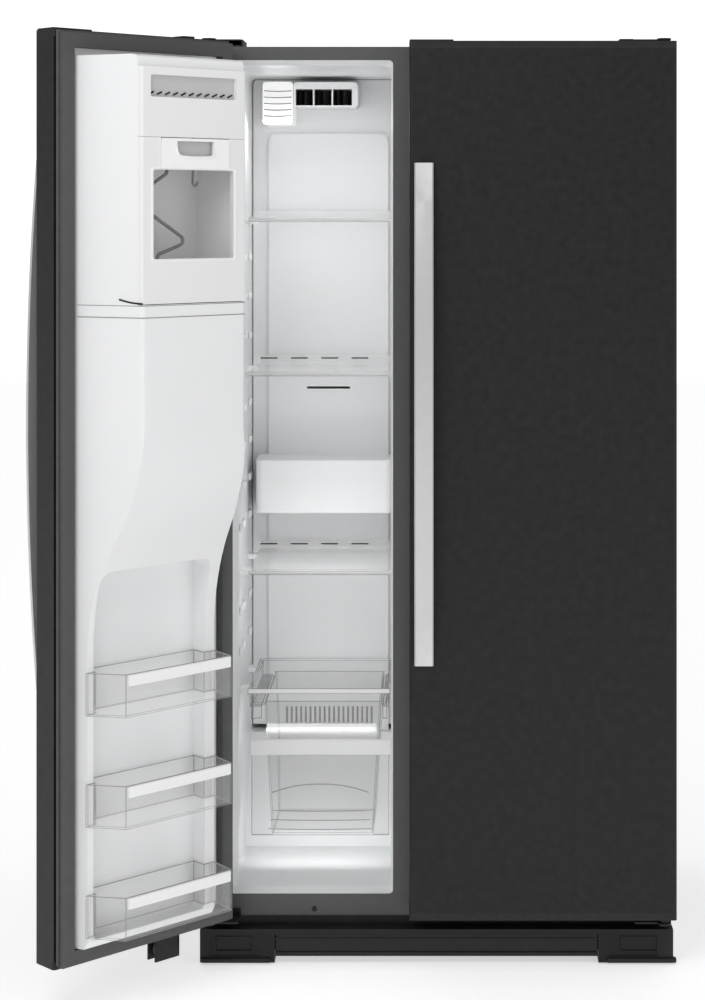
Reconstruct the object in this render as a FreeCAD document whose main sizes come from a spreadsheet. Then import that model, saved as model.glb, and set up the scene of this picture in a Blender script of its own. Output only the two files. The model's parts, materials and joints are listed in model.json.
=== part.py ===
"""Side by side refrigerator: a counter-depth cabinet with a freezer on the left and a fridge on the right.

Millimetres. Z = 0 is the floor, X = 0 the middle of the cabinet and Y = 0 the front face of the
closed doors, with +Y towards the back. The fridge door is closed. The freezer door stands open, so
its pieces are drawn closed and then swung about the hinge pin together.
"""
import FreeCAD, Part
import math
import os
import re

import Sketcher

V = FreeCAD.Vector
doc = FreeCAD.newDocument("Refrigerator")

# ---------------------------------------------------------------- driving dimensions
SIZES = {
    # cabinet
    "cabinet_width": 905, "cabinet_top": 1757, "cabinet_base": 62, "case_depth": 613,
    "steel_sheet": 1.2, "shell_bend": 7, "side_flange": 54, "top_flange": 26, "bottom_flange": 41,
    "mullion": 61, "freezer_opening": 314.5, "floor_level": 123, "opening_round": 8,
    # food liners inside the openings, with a hump over the machinery
    "liner_wall": 2, "liner_inset": 4, "floor_inset": 9, "mouth_depth": 20,
    "back_foam": 90, "machine_depth": 190, "machine_top": 290, "deck_foam": 42, "hump_run": 144,
    "duct_depth": 80, "duct_gap": 15,
    # doors
    "door_thickness": 58, "gasket_depth": 19, "gasket_width": 26, "gasket_margin": 6,
    "seal_gap": 0.5, "door_gap": 5, "door_overhang": 3, "freezer_door": 398.6,
    "door_rise": 5.5, "door_drop": 26.5, "cap_height": 14, "door_round": 6, "door_lip": 14,
    "hinge_inset": 22, "hinge_setback": 22, "pin_radius": 5, "pin_clearance": 0.05,
    "freezer_open": 135.5,
    # freezer door liner
    "dyke_depth": 94, "bulge_depth": 200, "bulge_run": 394, "bulge_draft": 55, "hinge_draft": 13.5,
    "liner_margin": 33.5, "hinge_margin": 63, "pan_depth": 60, "dyke_width": 26,
    # ice maker and bin in the freezer door
    "ice_drop": 68.5, "ice_cover": 124, "ice_bin": 294, "ice_plate": 10, "ice_wall": 3, "fit_gap": 1,
    # dispenser in the freezer door
    "dispenser_width": 180, "dispenser_height": 310, "panel_height": 100, "recess_depth": 95,
    "bezel": 15, "bezel_proud": 3, "chute_radius": 20, "chute_rise": 41,
    # bins, drawers and shelves
    "bin_height": 75, "bin_depth": 61, "bin_wall": 2.5, "bin_taper": 42, "bin_bar": 20,
    "shelf_front": 206, "shelf_thick": 4, "shelf_bar": 8, "shelf_end": 19.5, "shelf_gap": 5,
    "lower_shelf": 724, "cover_shelf": 487,
    "drawer_base": 198, "drawer_rim": 463, "drawer_pull": 389, "drawer_wall": 2.5, "slide_gap": 0.2,
    # handles
    "handle_width": 36, "handle_length": 950, "handle_base": 581, "handle_thick": 9,
    "handle_middle": 46, "handle_end": 14, "handle_edge": 10, "handle_bevel": 2.5, "handle_post": 9,
    # feet, rollers and machinery
    "foot_radius": 19, "foot_height": 12, "stud_radius": 5, "foot_x": 405, "foot_y": 112,
    "roller_radius": 24, "roller_width": 20, "axle_radius": 4, "roller_x": 424, "roller_inset": 50,
    "rail_base": 42, "rail_width": 40, "shaft_radius": 3,
}

sheet = doc.addObject("Spreadsheet::Sheet", "Sizes")
for row, (word, number) in enumerate(SIZES.items(), start=1):
    sheet.set(f"A{row}", word)
    sheet.set(f"B{row}", str(number))
    sheet.setAlias(f"B{row}", word)
doc.recompute()

# Places that several pieces share, worked out from the driving dimensions.
FLANGE = "(door_thickness + gasket_depth)"
CASE_BACK = f"({FLANGE} + case_depth)"
HALF = "(cabinet_width / 2)"
FREEZER_LEFT = f"(-{HALF} + side_flange)"
FREEZER_RIGHT = f"({FREEZER_LEFT} + freezer_opening)"
FRIDGE_LEFT = f"({FREEZER_RIGHT} + mullion)"
FRIDGE_RIGHT = f"({HALF} - side_flange)"
OPENING_TOP = "(cabinet_top - top_flange)"
DOOR_LEFT = f"(-{HALF} - door_overhang)"
SPLIT_LEFT = f"({DOOR_LEFT} + freezer_door)"
SPLIT_RIGHT = f"({SPLIT_LEFT} + door_gap)"
DOOR_RIGHT = f"({HALF} + door_overhang)"
PIN_LEFT = f"({DOOR_LEFT} + hinge_inset)"
PIN_RIGHT = f"({DOOR_RIGHT} - hinge_inset)"
GASKET_FACE = f"({FLANGE} - seal_gap)"
PLACES = {
    "door_top": "(cabinet_top + door_rise)",
    "door_bottom": "(floor_level - door_drop)",
    "liner_back": f"({CASE_BACK} - back_foam)",
    "hump_back": f"({CASE_BACK} - machine_depth)",
    "hump_front": "(hump_back - hump_run)",
    "hump_top": "(machine_top + deck_foam)",
    "cover_front": "(liner_back - duct_depth)",
    "shelf_back": "(cover_front - duct_gap)",
    "roller_y": f"({CASE_BACK} - roller_inset)",
    "tray_top": "(rail_base + 22)",
    "ice_top": "(door_top - ice_drop)",
    "ice_split": "(ice_top - ice_cover)",
    "ice_base": "(ice_split - ice_bin)",
    "dispenser_top": "(ice_base - chute_rise)",
    "dispenser_base": "(dispenser_top - dispenser_height)",
    "panel_top": "(dispenser_top + panel_height)",
    "bulge_high": "(dispenser_top - 181)",
    "bulge_low": "(bulge_high - bulge_run)",
}


# ---------------------------------------------------------------- helpers
def bound(text):
    """The text with each place written out and each driving dimension as a cell of the sheet."""
    def spelled(found):
        word = found[0]
        if word in PLACES:
            return bound(PLACES[word])
        return f"Sizes.{word}" if word in SIZES else word

    return re.sub(r"[a-z_]{3,}", spelled, str(text))


def value(text):
    """The number that an expression gives now."""
    return float(sheet.evalExpression(bound(text)))


def minus(low, high):
    return f"({high}) - ({low})"


def box(name, x, y, z):
    """A block between two expressions along each axis."""
    block = doc.addObject("Part::Box", name)
    for prop, coordinate, (low, high) in zip(("Length", "Width", "Height"), "xyz", (x, y, z)):
        block.setExpression(prop, bound(minus(low, high)))
        block.setExpression(f"Placement.Base.{coordinate}", bound(low))
    return block


def rod(name, along, start, radius, length):
    """A cylinder from a start point along +X, +Y or +Z."""
    cylinder = doc.addObject("Part::Cylinder", name)
    turn = {"x": FreeCAD.Rotation(V(0, 1, 0), 90), "y": FreeCAD.Rotation(V(1, 0, 0), -90),
            "z": FreeCAD.Rotation()}
    cylinder.Placement = FreeCAD.Placement(V(), turn[along])
    cylinder.setExpression("Radius", bound(radius))
    cylinder.setExpression("Height", bound(length))
    for coordinate, place in zip("xyz", start):
        cylinder.setExpression(f"Placement.Base.{coordinate}", bound(place))
    return cylinder


def fuse(name, *shapes):
    if len(shapes) == 1:
        return shapes[0]
    joined = doc.addObject("Part::MultiFuse", name)
    joined.Shapes = list(shapes)
    joined.Refine = False
    return joined


def group(name, *shapes):
    """Separate solids that share one node."""
    together = doc.addObject("Part::Compound", name)
    together.Links = list(shapes)
    return together


def cut(name, base, *tools):
    result = doc.addObject("Part::Cut", name)
    result.Base = base
    result.Tool = fuse(name + "_tools", *tools)
    return result


def common(name, first, second):
    result = doc.addObject("Part::Common", name)
    result.Base = first
    result.Tool = second
    return result


def runs_along(edge, axis):
    """Whether a straight edge runs along an axis."""
    if edge.Curve.TypeId != "Part::GeomLine":
        return False
    return abs(edge.tangentAt(edge.FirstParameter).dot(axis)) > 0.999


def rounded(name, base, radius, pick):
    """Round the edges of a shape that pick(edge) chooses."""
    doc.recompute()
    fillet = doc.addObject("Part::Fillet", name)
    fillet.Base = base
    size = value(radius)
    fillet.Edges = [(n, size, size) for n, edge in enumerate(base.Shape.Edges, start=1) if pick(edge)]
    return fillet


AXES = {"x": V(1, 0, 0), "y": V(0, 1, 0), "z": V(0, 0, 1)}


def soft_box(name, x, y, z, along, radius):
    """A block with its four edges along one axis rounded."""
    return rounded(name, box(name + "_block", x, y, z), radius, lambda edge: runs_along(edge, AXES[along]))


PLANES = {"xy": "XY_Plane", "xz": "XZ_Plane", "yz": "YZ_Plane"}


def arc_between(start, end, radius):
    """An arc of a signed radius from start to end: positive turns left."""
    middle = (start + end) * 0.5
    chord = end - start
    half = chord.Length / 2
    side = V(-chord.y, chord.x, 0).normalize()
    centre = middle + side * math.copysign(math.sqrt(radius ** 2 - half ** 2), radius)
    first, last = (start, end) if radius > 0 else (end, start)
    circle = Part.Circle(centre, V(0, 0, 1), abs(radius))
    return Part.ArcOfCircle(circle, circle.parameter(first), circle.parameter(last))


def draw(sketch, outline):
    """Draw a closed outline: each point is (across, up) or (across, up, signed radius to the next)."""
    points = [V(value(p[0]), value(p[1]), 0) for p in outline]
    ends = []
    for n, point in enumerate(outline):
        start, end = points[n], points[(n + 1) % len(points)]
        if len(point) == 3:
            radius = value(point[2])
            sketch.addGeometry(arc_between(start, end, radius))
            ends.append((1, 2) if radius > 0 else (2, 1))
            number = sketch.addConstraint(Sketcher.Constraint("Radius", n, abs(radius)))
            sketch.setExpression(f"Constraints[{number}]", bound(f"abs({point[2]})"))
        else:
            sketch.addGeometry(Part.LineSegment(start, end))
            ends.append((1, 2))
    for n in range(len(outline)):
        following = (n + 1) % len(outline)
        sketch.addConstraint(Sketcher.Constraint("Coincident", n, ends[n][1], following,
                                                 ends[following][0]))
    for n, point in enumerate(outline):
        for kind, place, number in (("DistanceX", point[0], points[n].x),
                                    ("DistanceY", point[1], points[n].y)):
            constraint = Sketcher.Constraint(kind, -1, 1, n, ends[n][0], number)
            index = sketch.addConstraint(constraint)
            sketch.setExpression(f"Constraints[{index}]", bound(place))


def attach(body, plane, offset):
    """A sketch on one of the body's own origin planes, moved along its normal."""
    sketch = body.newObject("Sketcher::SketchObject", body.Name + "_sketch")
    origin = [f for f in body.Origin.OriginFeatures if f.Role == PLANES[plane]][0]
    sketch.AttachmentSupport = [(origin, "")]
    sketch.MapMode = "FlatFace"
    sketch.setExpression("AttachmentOffset.Base.z", bound(offset))
    return sketch


def prism(name, plane, outline, low, high):
    """A body padded from an outline, between two places along the plane's normal axis."""
    body = doc.addObject("PartDesign::Body", name)
    # The XZ plane's normal is -Y, so its pad starts at the high end.
    offset = f"-({high})" if plane == "xz" else low
    sketch = attach(body, plane, offset)
    draw(sketch, outline)
    pad = body.newObject("PartDesign::Pad", name + "_pad")
    pad.Profile = sketch
    pad.setExpression("Length", bound(minus(low, high)))
    return body


def dress(body, kind, prop, size, pick):
    """Add a fillet or a chamfer to the edges of a body's last feature that pick(edge) chooses."""
    doc.recompute()
    last = body.Tip
    names = [f"Edge{n}" for n, edge in enumerate(last.Shape.Edges, start=1) if pick(edge)]
    feature = body.newObject(f"PartDesign::{kind}", f"{body.Name}_{kind.lower()}")
    feature.Base = (last, names)
    feature.setExpression(prop, bound(size))
    return body


def soften(body, radius, pick):
    return dress(body, "Fillet", "Radius", radius, pick)


def bevel(body, size, pick):
    return dress(body, "Chamfer", "Size", size, pick)


nodes = []


def node(label, shape, swung=False):
    """Name a finished sub-part. A swung piece turns with the open freezer door about its pin."""
    if swung:
        shape.Label = label + "_closed"
        shape = group(label + "_open", shape)
        turn = "freezer_open * 1 deg"
        shape.setExpression("Placement.Rotation.Angle", bound("-freezer_open"))
        shape.setExpression("Placement.Base.x", bound(
            f"{PIN_LEFT} - {PIN_LEFT} * cos({turn}) - hinge_setback * sin({turn})"))
        shape.setExpression("Placement.Base.y", bound(
            f"hinge_setback + {PIN_LEFT} * sin({turn}) - hinge_setback * cos({turn})"))
    shape.Label = label
    nodes.append(shape)


# ---------------------------------------------------------------- cabinet
def cavity(name, opening, walls, grow):
    """The space inside a liner, grown by a wall: a mouth that tapers in and a hump over the machinery."""
    left, right = opening
    floor = f"floor_level + floor_inset - {grow}"
    roof = f"{OPENING_TOP} - floor_inset + {grow}"
    rear = f"liner_back + {grow}"
    outline = [
        (f"{FLANGE} + steel_sheet", floor), (f"hump_front + {grow}", floor),
        (f"hump_back + {grow}", f"hump_top - {grow}"), (rear, f"hump_top - {grow}"),
        (rear, roof), (f"{FLANGE} + steel_sheet", roof),
    ]
    room = prism(name + "_room", "yz", outline, f"{walls[0]} - {grow}", f"{walls[1]} + {grow}")
    soften(room, "opening_round", lambda edge: runs_along(edge, AXES["y"]))
    mouth = doc.addObject("Part::Wedge", name + "_mouth")
    for prop, place in (
        ("Xmin", f"{left} - {grow}"), ("Xmax", f"{right} + {grow}"),
        ("X2min", f"{walls[0]} - {grow}"), ("X2max", f"{walls[1]} + {grow}"),
        ("Zmin", f"floor_level - {grow}"), ("Zmax", f"{OPENING_TOP} + {grow}"),
        ("Z2min", floor), ("Z2max", roof),
        ("Ymin", f"{FLANGE} + steel_sheet"), ("Ymax", f"{FLANGE} + mouth_depth"),
    ):
        mouth.setExpression(prop, bound(place))
    return fuse(name, room, mouth)


def rests(name, low, high, heights, left=True):
    """Moulded rests that reach from a side wall to 3 mm under the ends of the shelves."""
    x = (low, f"{high} + 3") if left else (f"{low} - 3", high)
    return [
        box(f"{name}_{n}_{where}", x, (place, f"{place} + 26"),
            (f"{height} - 14", f"{height} - shelf_thick"))
        for n, height in enumerate(heights)
        for where, place in (("front", "shelf_front + 40"), ("back", "shelf_back - 70"))
    ]


TOP_SHELF = "(cabinet_top - 330)"
FREEZER_SHELVES = {
    "freezer_shelf_top": TOP_SHELF,
    "freezer_shelf_middle": f"({TOP_SHELF} * 9 / 16 + lower_shelf * 7 / 16)",
    "freezer_shelf_lower": "lower_shelf",
}
FRIDGE_SHELVES = ("(cabinet_top - 357)", "(cabinet_top - 657)", "(cabinet_top - 957)", "500")
CRISPERS = {"crisper_upper": ("hump_top + 18", "482"), "crisper_lower": ("floor_level + 27", "336")}
CRISPER_FRONT = "(shelf_front + 29)"

wrap = prism("wrap", "xz", [
    (f"-{HALF}", "cabinet_base"), (f"-{HALF} + steel_sheet", "cabinet_base"),
    (f"-{HALF} + steel_sheet", "cabinet_top - steel_sheet"),
    (f"{HALF} - steel_sheet", "cabinet_top - steel_sheet"),
    (f"{HALF} - steel_sheet", "cabinet_base"), (HALF, "cabinet_base"),
    (HALF, "cabinet_top"), (f"-{HALF}", "cabinet_top"),
], f"{FLANGE} + steel_sheet", CASE_BACK)
for level, bend in (("cabinet_top - steel_sheet", "shell_bend - steel_sheet"),
                    ("cabinet_top", "shell_bend")):
    soften(wrap, bend, lambda edge: runs_along(edge,
                                               AXES["y"]) and abs(edge.CenterOfMass.z - value(level)) < 0.1)
node("cabinet_shell", wrap)

FRAME_Y = (FLANGE, f"{FLANGE} + steel_sheet")
frame_plate = soft_box("frame_plate", (f"-{HALF}", HALF), FRAME_Y,
                       ("floor_level - bottom_flange", "cabinet_top"), "y", "shell_bend / 2")
frame_holes = [
    soft_box(name, (left, right), (f"{FLANGE} - 1", f"{FLANGE} + steel_sheet + 1"),
             ("floor_level", OPENING_TOP), "y", "opening_round")
    for name, left, right in (("freezer_hole", FREEZER_LEFT, FREEZER_RIGHT),
                              ("fridge_hole", FRIDGE_LEFT, FRIDGE_RIGHT))
]
node("front_frame", cut("front_frame", frame_plate, *frame_holes))

FREEZER_OPENING = (FREEZER_LEFT, FREEZER_RIGHT)
FRIDGE_OPENING = (FRIDGE_LEFT, FRIDGE_RIGHT)
FREEZER_WALLS = (f"({FREEZER_LEFT} + liner_inset)", f"({FREEZER_RIGHT} - liner_inset)")
FRIDGE_WALLS = (f"({FRIDGE_LEFT} + liner_inset)", f"({FRIDGE_RIGHT} - liner_inset)")
# Each shelf stops short of the outer wall by shelf_end and of the mullion's wall by shelf_gap.
FREEZER_ENDS = (f"({FREEZER_WALLS[0]} + shelf_end)", f"({FREEZER_WALLS[1]} - shelf_gap)")
FRIDGE_ENDS = (f"({FRIDGE_WALLS[0]} + shelf_gap)", f"({FRIDGE_WALLS[1]} - shelf_end)")


def liner(name, opening, walls, ends, heights):
    shell = cut(name + "_shell", cavity(name + "_outer", opening, walls, "liner_wall"),
                cavity(name + "_space", opening, walls, "0"))
    return fuse(name, shell, *rests(name + "_left", walls[0], ends[0], heights),
                *rests(name + "_right", ends[1], walls[1], heights, left=False))


node("freezer_liner", liner("freezer_liner", FREEZER_OPENING, FREEZER_WALLS, FREEZER_ENDS,
                            [*FREEZER_SHELVES.values(), "cover_shelf"]))
ledges = []
for label, (base, rim) in CRISPERS.items():
    ledge_y = (f"{CRISPER_FRONT} + 12", "hump_front - 20")
    ledge_z = (f"{rim} - 14", f"{rim} - 6 - slide_gap")
    ledges.append(box(f"{label}_ledge_left", (FRIDGE_WALLS[0], f"{FRIDGE_WALLS[0]} + 6"), ledge_y, ledge_z))
    ledges.append(box(f"{label}_ledge_right", (f"{FRIDGE_WALLS[1]} - 6", FRIDGE_WALLS[1]), ledge_y,
                      ledge_z))
node("fridge_liner", fuse("fridge_liner", liner(
    "fridge_liner_plain", FRIDGE_OPENING, FRIDGE_WALLS, FRIDGE_ENDS, FRIDGE_SHELVES), *ledges))

DECK_FRONT = "hump_back"
INSIDE = (f"-{HALF} + steel_sheet", f"{HALF} - steel_sheet")
PANEL_FRONT = f"({CASE_BACK} - steel_sheet)"
foam_block = box("foam_block", INSIDE, (f"{FLANGE} + steel_sheet", PANEL_FRONT),
                 ("floor_level - bottom_flange + steel_sheet", "cabinet_top - steel_sheet"))
foam_corner = [
    box(f"foam_corner_{side}", x, (FLANGE, CASE_BACK), ("cabinet_top - shell_bend", "cabinet_top"))
    for side, x in (("left", (f"-{HALF}", f"-{HALF} + shell_bend")),
                    ("right", (f"{HALF} - shell_bend", HALF)))
]
machine_room = box("machine_room", (f"-{HALF}", HALF), (f"{DECK_FRONT} - steel_sheet", CASE_BACK),
                   ("0", "machine_top"))
node("insulation_foam", cut(
    "insulation_foam", foam_block, cavity("freezer_bed", FREEZER_OPENING, FREEZER_WALLS, "liner_wall"),
    cavity("fridge_bed", FRIDGE_OPENING, FRIDGE_WALLS, "liner_wall"), machine_room, *foam_corner))

back_plate = box("back_plate", INSIDE, (PANEL_FRONT, CASE_BACK),
                 ("machine_top", "cabinet_top - shell_bend"))
back_beads = [
    soft_box(f"back_bead_{n}", (f"{x} - 150", f"{x} + 150"), (f"{PANEL_FRONT} - 1", f"{CASE_BACK} - 0.7"),
             ("machine_top + 120", "cabinet_top - 150"), "y", "30")
    for n, x in enumerate(("-215", "215"))
]
node("rear_panel", cut("rear_panel", back_plate, *back_beads))

# Base: two rails with a bottom plate that steps up over the machinery at the back.
FLOOR_PLATE = "(floor_level - bottom_flange)"
base_plate = prism("base_plate", "yz", [
    (f"{FLANGE} + steel_sheet", FLOOR_PLATE), (DECK_FRONT, FLOOR_PLATE),
    (DECK_FRONT, "machine_top - steel_sheet"), (PANEL_FRONT, "machine_top - steel_sheet"),
    (PANEL_FRONT, "machine_top"), (f"{DECK_FRONT} - steel_sheet", "machine_top"),
    (f"{DECK_FRONT} - steel_sheet", f"{FLOOR_PLATE} + steel_sheet"),
    (f"{FLANGE} + steel_sheet", f"{FLOOR_PLATE} + steel_sheet"),
], *INSIDE)
base_parts = [base_plate]
roller_wells = []
for side in (-1, 1):
    def across(distance, thick, side=side):
        """A stretch measured inwards from one side wall."""
        low = f"{side} * ({HALF} - steel_sheet - {distance})"
        high = f"{side} * ({HALF} - steel_sheet - {distance} - {thick})"
        return (low, high) if side < 0 else (high, low)

    word = "left" if side < 0 else "right"
    rail_y = (f"{FLANGE} + 8", f"{CASE_BACK} - 12")
    base_parts += [
        box(f"rail_web_{word}", across("0", "3"), rail_y, ("rail_base", FLOOR_PLATE)),
        box(f"rail_foot_{word}", across("0", "rail_width"), rail_y, ("rail_base", "rail_base + 3")),
        box(f"rail_inner_{word}", across("rail_width - 3", "3"), rail_y, ("rail_base", FLOOR_PLATE)),
    ]
    stud_x = f"{side} * foot_x"
    base_parts.append(cut(
        f"foot_nut_{word}",
        box(f"foot_nut_block_{word}", (f"{stud_x} - 14", f"{stud_x} + 14"), ("foot_y - 14", "foot_y + 14"),
            ("rail_base - 14", "rail_base + 3")),
        rod(f"foot_nut_bore_{word}", "z", (stud_x, "foot_y", "rail_base - 20"),
            "stud_radius + pin_clearance", "80")))
    for place, offset in (("outer", "roller_width / 2 + 1"), ("inner", "-roller_width / 2 - 4")):
        x = f"{side} * (roller_x + {offset})"
        x_end = f"{side} * (roller_x + {offset} + 3)"
        base_parts.append(box(f"roller_ear_{word}_{place}", (x, x_end) if side > 0 else (x_end, x),
                              ("roller_y - 18", "roller_y + 18"), ("roller_radius - 10", "rail_base + 3")))
    start = f"{side} * roller_x - roller_width / 2 - 4"
    base_parts.append(rod(f"roller_axle_{word}", "x", (start, "roller_y", "roller_radius"), "axle_radius",
                          "roller_width + 8"))
    x = (f"{side} * roller_x - roller_width / 2 - 0.6", f"{side} * roller_x + roller_width / 2 + 0.6")
    roller_wells.append(box(f"roller_well_{word}", x, ("roller_y - roller_radius - 2",
                                                       "roller_y + roller_radius + 2"),
                            ("rail_base - 1", "rail_base + 10")))
base_parts.append(box("machine_tray", (f"-{HALF} + steel_sheet", f"{HALF} - steel_sheet"),
                      (DECK_FRONT, PANEL_FRONT), ("tray_top - 2", "tray_top")))
# The condenser fan's motor stands on the machinery tray.
FAN_DEPTH = 26
CONDENSER_FAN = ("60", f"{CASE_BACK} - 100", "tray_top + 104")
motor_x, motor_y, motor_z = CONDENSER_FAN
base_parts += [
    rod("fan_motor", "x", (f"{motor_x} + {FAN_DEPTH + 4}", motor_y, motor_z), "22", "26"),
    rod("fan_shaft", "x", (f"{motor_x} + 4", motor_y, motor_z), "shaft_radius", f"{FAN_DEPTH + 4}"),
    box("fan_stand", (f"{motor_x} + {FAN_DEPTH + 8}", f"{motor_x} + {FAN_DEPTH + 26}"),
        (f"{motor_y} - 20", f"{motor_y} + 20"), ("tray_top", motor_z)),
]
base_joined = fuse("base_joined", *base_parts)
stud_holes = [
    rod(f"stud_hole_{n}", "z", (f"{side} * foot_x", "foot_y", "rail_base - 20"),
        "stud_radius + pin_clearance", "80")
    for n, side in enumerate((-1, 1))
]
node("base_frame", cut("base_frame", base_joined, *stud_holes, *roller_wells))

# Levelling feet turn in the base; the rear rollers turn on their axles.
for side, word in ((-1, "left"), (1, "right")):
    x = f"{side} * foot_x"
    pad = rod(f"foot_pad_{word}", "z", (x, "foot_y", "0"), "foot_radius", "foot_height")
    pad_soft = rounded(f"foot_pad_soft_{word}", pad, "3", lambda edge: edge.CenterOfMass.z > 1)
    stud = rod(f"foot_stud_{word}", "z", (x, "foot_y", "foot_height - 1"), "stud_radius", "rail_base + 8")
    node(f"levelling_foot_{word}", fuse(f"foot_{word}", pad_soft, stud))
rollers = []
for side in (-1, 1):
    start = f"{side} * roller_x - roller_width / 2"
    tyre = rounded(f"roller_tyre_{side + 1}", rod(f"roller_disc_{side + 1}", "x",
                                                  (start, "roller_y", "roller_radius"),
                   "roller_radius", "roller_width"), "3", lambda edge: not runs_along(edge, AXES["x"]))
    bore = rod(f"roller_bore_{side + 1}", "x", (f"{start} - 1", "roller_y", "roller_radius"),
               "axle_radius + pin_clearance", "roller_width + 2")
    rollers.append(cut(f"roller_{side + 1}", tyre, bore))
node("rear_rollers", group("rear_rollers", *rollers))

# Toe grille: a louvred middle between two deep ends that hide the feet and the bottom hinges.
GRILLE_TOP = "(door_bottom - 30)"
GRILLE_END = 143
GRILLE_Y = (40, 74)
grille_parts = [box("grille_bar", (f"-{HALF}", HALF), GRILLE_Y, (f"{GRILLE_TOP} - 10", GRILLE_TOP)),
                box("grille_back", (f"-{HALF}", HALF), (GRILLE_Y[1] - 4, GRILLE_Y[1]), ("22", GRILLE_TOP))]
for side in (-1, 1):
    ends = (f"-{HALF}", f"-{HALF} + {GRILLE_END}") if side < 0 else (f"{HALF} - {GRILLE_END}", HALF)
    shell_block = box(f"grille_end_{side + 1}", ends, GRILLE_Y, ("3", GRILLE_TOP))
    hollow = box(f"grille_hollow_{side + 1}", (f"{ends[0]} + 4", f"{ends[1]} - 4"),
                 (GRILLE_Y[0] + 4, GRILLE_Y[1] + 1),
                 ("0", f"{GRILLE_TOP} - 4"))
    panel = box(f"grille_recess_{side + 1}", (f"{ends[0]} + 20", f"{ends[1]} - 30"),
                (GRILLE_Y[0] - 1, GRILLE_Y[0] + 2),
                ("16", f"{GRILLE_TOP} - 12"))
    grille_parts.append(cut(f"grille_cap_{side + 1}", shell_block, hollow, panel))
LOUVRES = 3
for n in range(LOUVRES):
    low = f"26 + {n} * 10"
    grille_parts.append(box(f"grille_louvre_{n}", (f"-{HALF} + {GRILLE_END}", f"{HALF} - {GRILLE_END}"),
                            (GRILLE_Y[0] + 6 - 2 * n, GRILLE_Y[1] - 4), (low, f"{low} + 4")))
grille_slots = [
    box(f"grille_air_{n}", (f"-{HALF} + {GRILLE_END} + 20 + {n} * 98",
                            f"-{HALF} + {GRILLE_END} + 110 + {n} * 98"),
        (GRILLE_Y[1] - 5, GRILLE_Y[1] + 1), ("31", "35"))
    for n in range(6)
]
grille_clips = [
    box(f"grille_clip_{side + 1}", (f"{side} * ({HALF} - 22) - 12", f"{side} * ({HALF} - 22) + 12"),
        (GRILLE_Y[1] - 5, f"{FLANGE} + 20"), ("rail_base + 3", "rail_base + 9"))
    for side in (-1, 1)
]
node("toe_grille", cut("toe_grille", fuse("grille_joined", *grille_parts, *grille_clips), *grille_slots))

# Hinges: a bracket on the cabinet's top and one below carry a pin into each door's end caps.
PIN_REACH = 24
brackets, covers, screws = [], [], []
for side, word, pin in ((-1, "left", PIN_LEFT), (1, "right", PIN_RIGHT)):
    inner, outer = f"{side} * ({HALF} - 75)", f"{side} * ({HALF} - 6)"
    x = (inner, outer) if side > 0 else (outer, inner)
    arm_x = (f"{pin} - 13", f"{pin} + 13")
    top = fuse(
        f"top_bracket_{word}",
        box(f"top_leaf_{word}", x, (f"{FLANGE} + 3", f"{FLANGE} + 95"), ("cabinet_top", "cabinet_top + 3")),
        box(f"top_step_{word}", arm_x, (f"{FLANGE} + 3", f"{FLANGE} + 12"),
            ("cabinet_top", "door_top + 6")),
        box(f"top_arm_{word}", arm_x, ("hinge_setback", f"{FLANGE} + 12"),
            ("door_top + 3", "door_top + 6")),
        rod(f"top_eye_{word}", "z", (pin, "hinge_setback", "door_top + 3"), "13", "3"),
        rod(f"top_pin_{word}", "z", (pin, "hinge_setback", f"door_top - {PIN_REACH}"), "pin_radius",
            f"{PIN_REACH} + 4"))
    low = fuse(
        f"low_bracket_{word}",
        box(f"low_leaf_{word}", x, (f"{FLANGE} - 3", FLANGE), ("door_bottom - 14", "door_bottom - 1")),
        box(f"low_arm_{word}", (x[0], x[1]), ("hinge_setback", f"{FLANGE} - 1"),
            ("door_bottom - 14", "door_bottom - 10")),
        rod(f"low_eye_{word}", "z", (pin, "hinge_setback", "door_bottom - 14"), "13", "4"),
        rod(f"low_washer_{word}", "z", (pin, "hinge_setback", "door_bottom - 11"), "9", "10.5"),
        rod(f"low_pin_{word}", "z", (pin, "hinge_setback", "door_bottom - 11"), "pin_radius",
            f"{PIN_REACH} + 10"))
    brackets += [top, low]
    cover_block = soft_box(f"cover_{word}", (f"{x[0]} - 3", f"{x[1]} + 3"),
                           (f"{FLANGE} + 1", f"{FLANGE} + 102"),
                           ("cabinet_top", "door_top + 9"), "z", "8")
    cover_room = box(f"cover_room_{word}", (f"{x[0]} - 0.5", f"{x[1]} + 0.5"),
                     (f"{FLANGE} - 1", f"{FLANGE} + 98"),
                     ("cabinet_top - 1", "door_top + 6.5"))
    covers.append(cut(f"hinge_cover_{word}", cover_block, cover_room))
    for n, depth in enumerate(("30", "70")):
        place = (f"({inner} + {outer}) / 2", f"{FLANGE} + {depth}", "cabinet_top + 3")
        screws.append(rod(f"top_screw_{word}_{n}", "z", place, "6", "3"))
    screws.append(rod(f"low_screw_{word}", "y", (f"{side} * ({HALF} - 60)", f"{FLANGE} - 6",
                                                 "door_bottom - 5.8"), "4", "3"))
screws.append(rod("flange_screw", "y", (f"{FREEZER_LEFT} + 163", f"{FLANGE} - 2", "floor_level - 29"), "5",
                  "2"))
node("hinge_brackets", group("hinge_brackets", *brackets))
node("hinge_covers", group("hinge_covers", *covers))
node("frame_screws", group("frame_screws", *screws))

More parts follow.
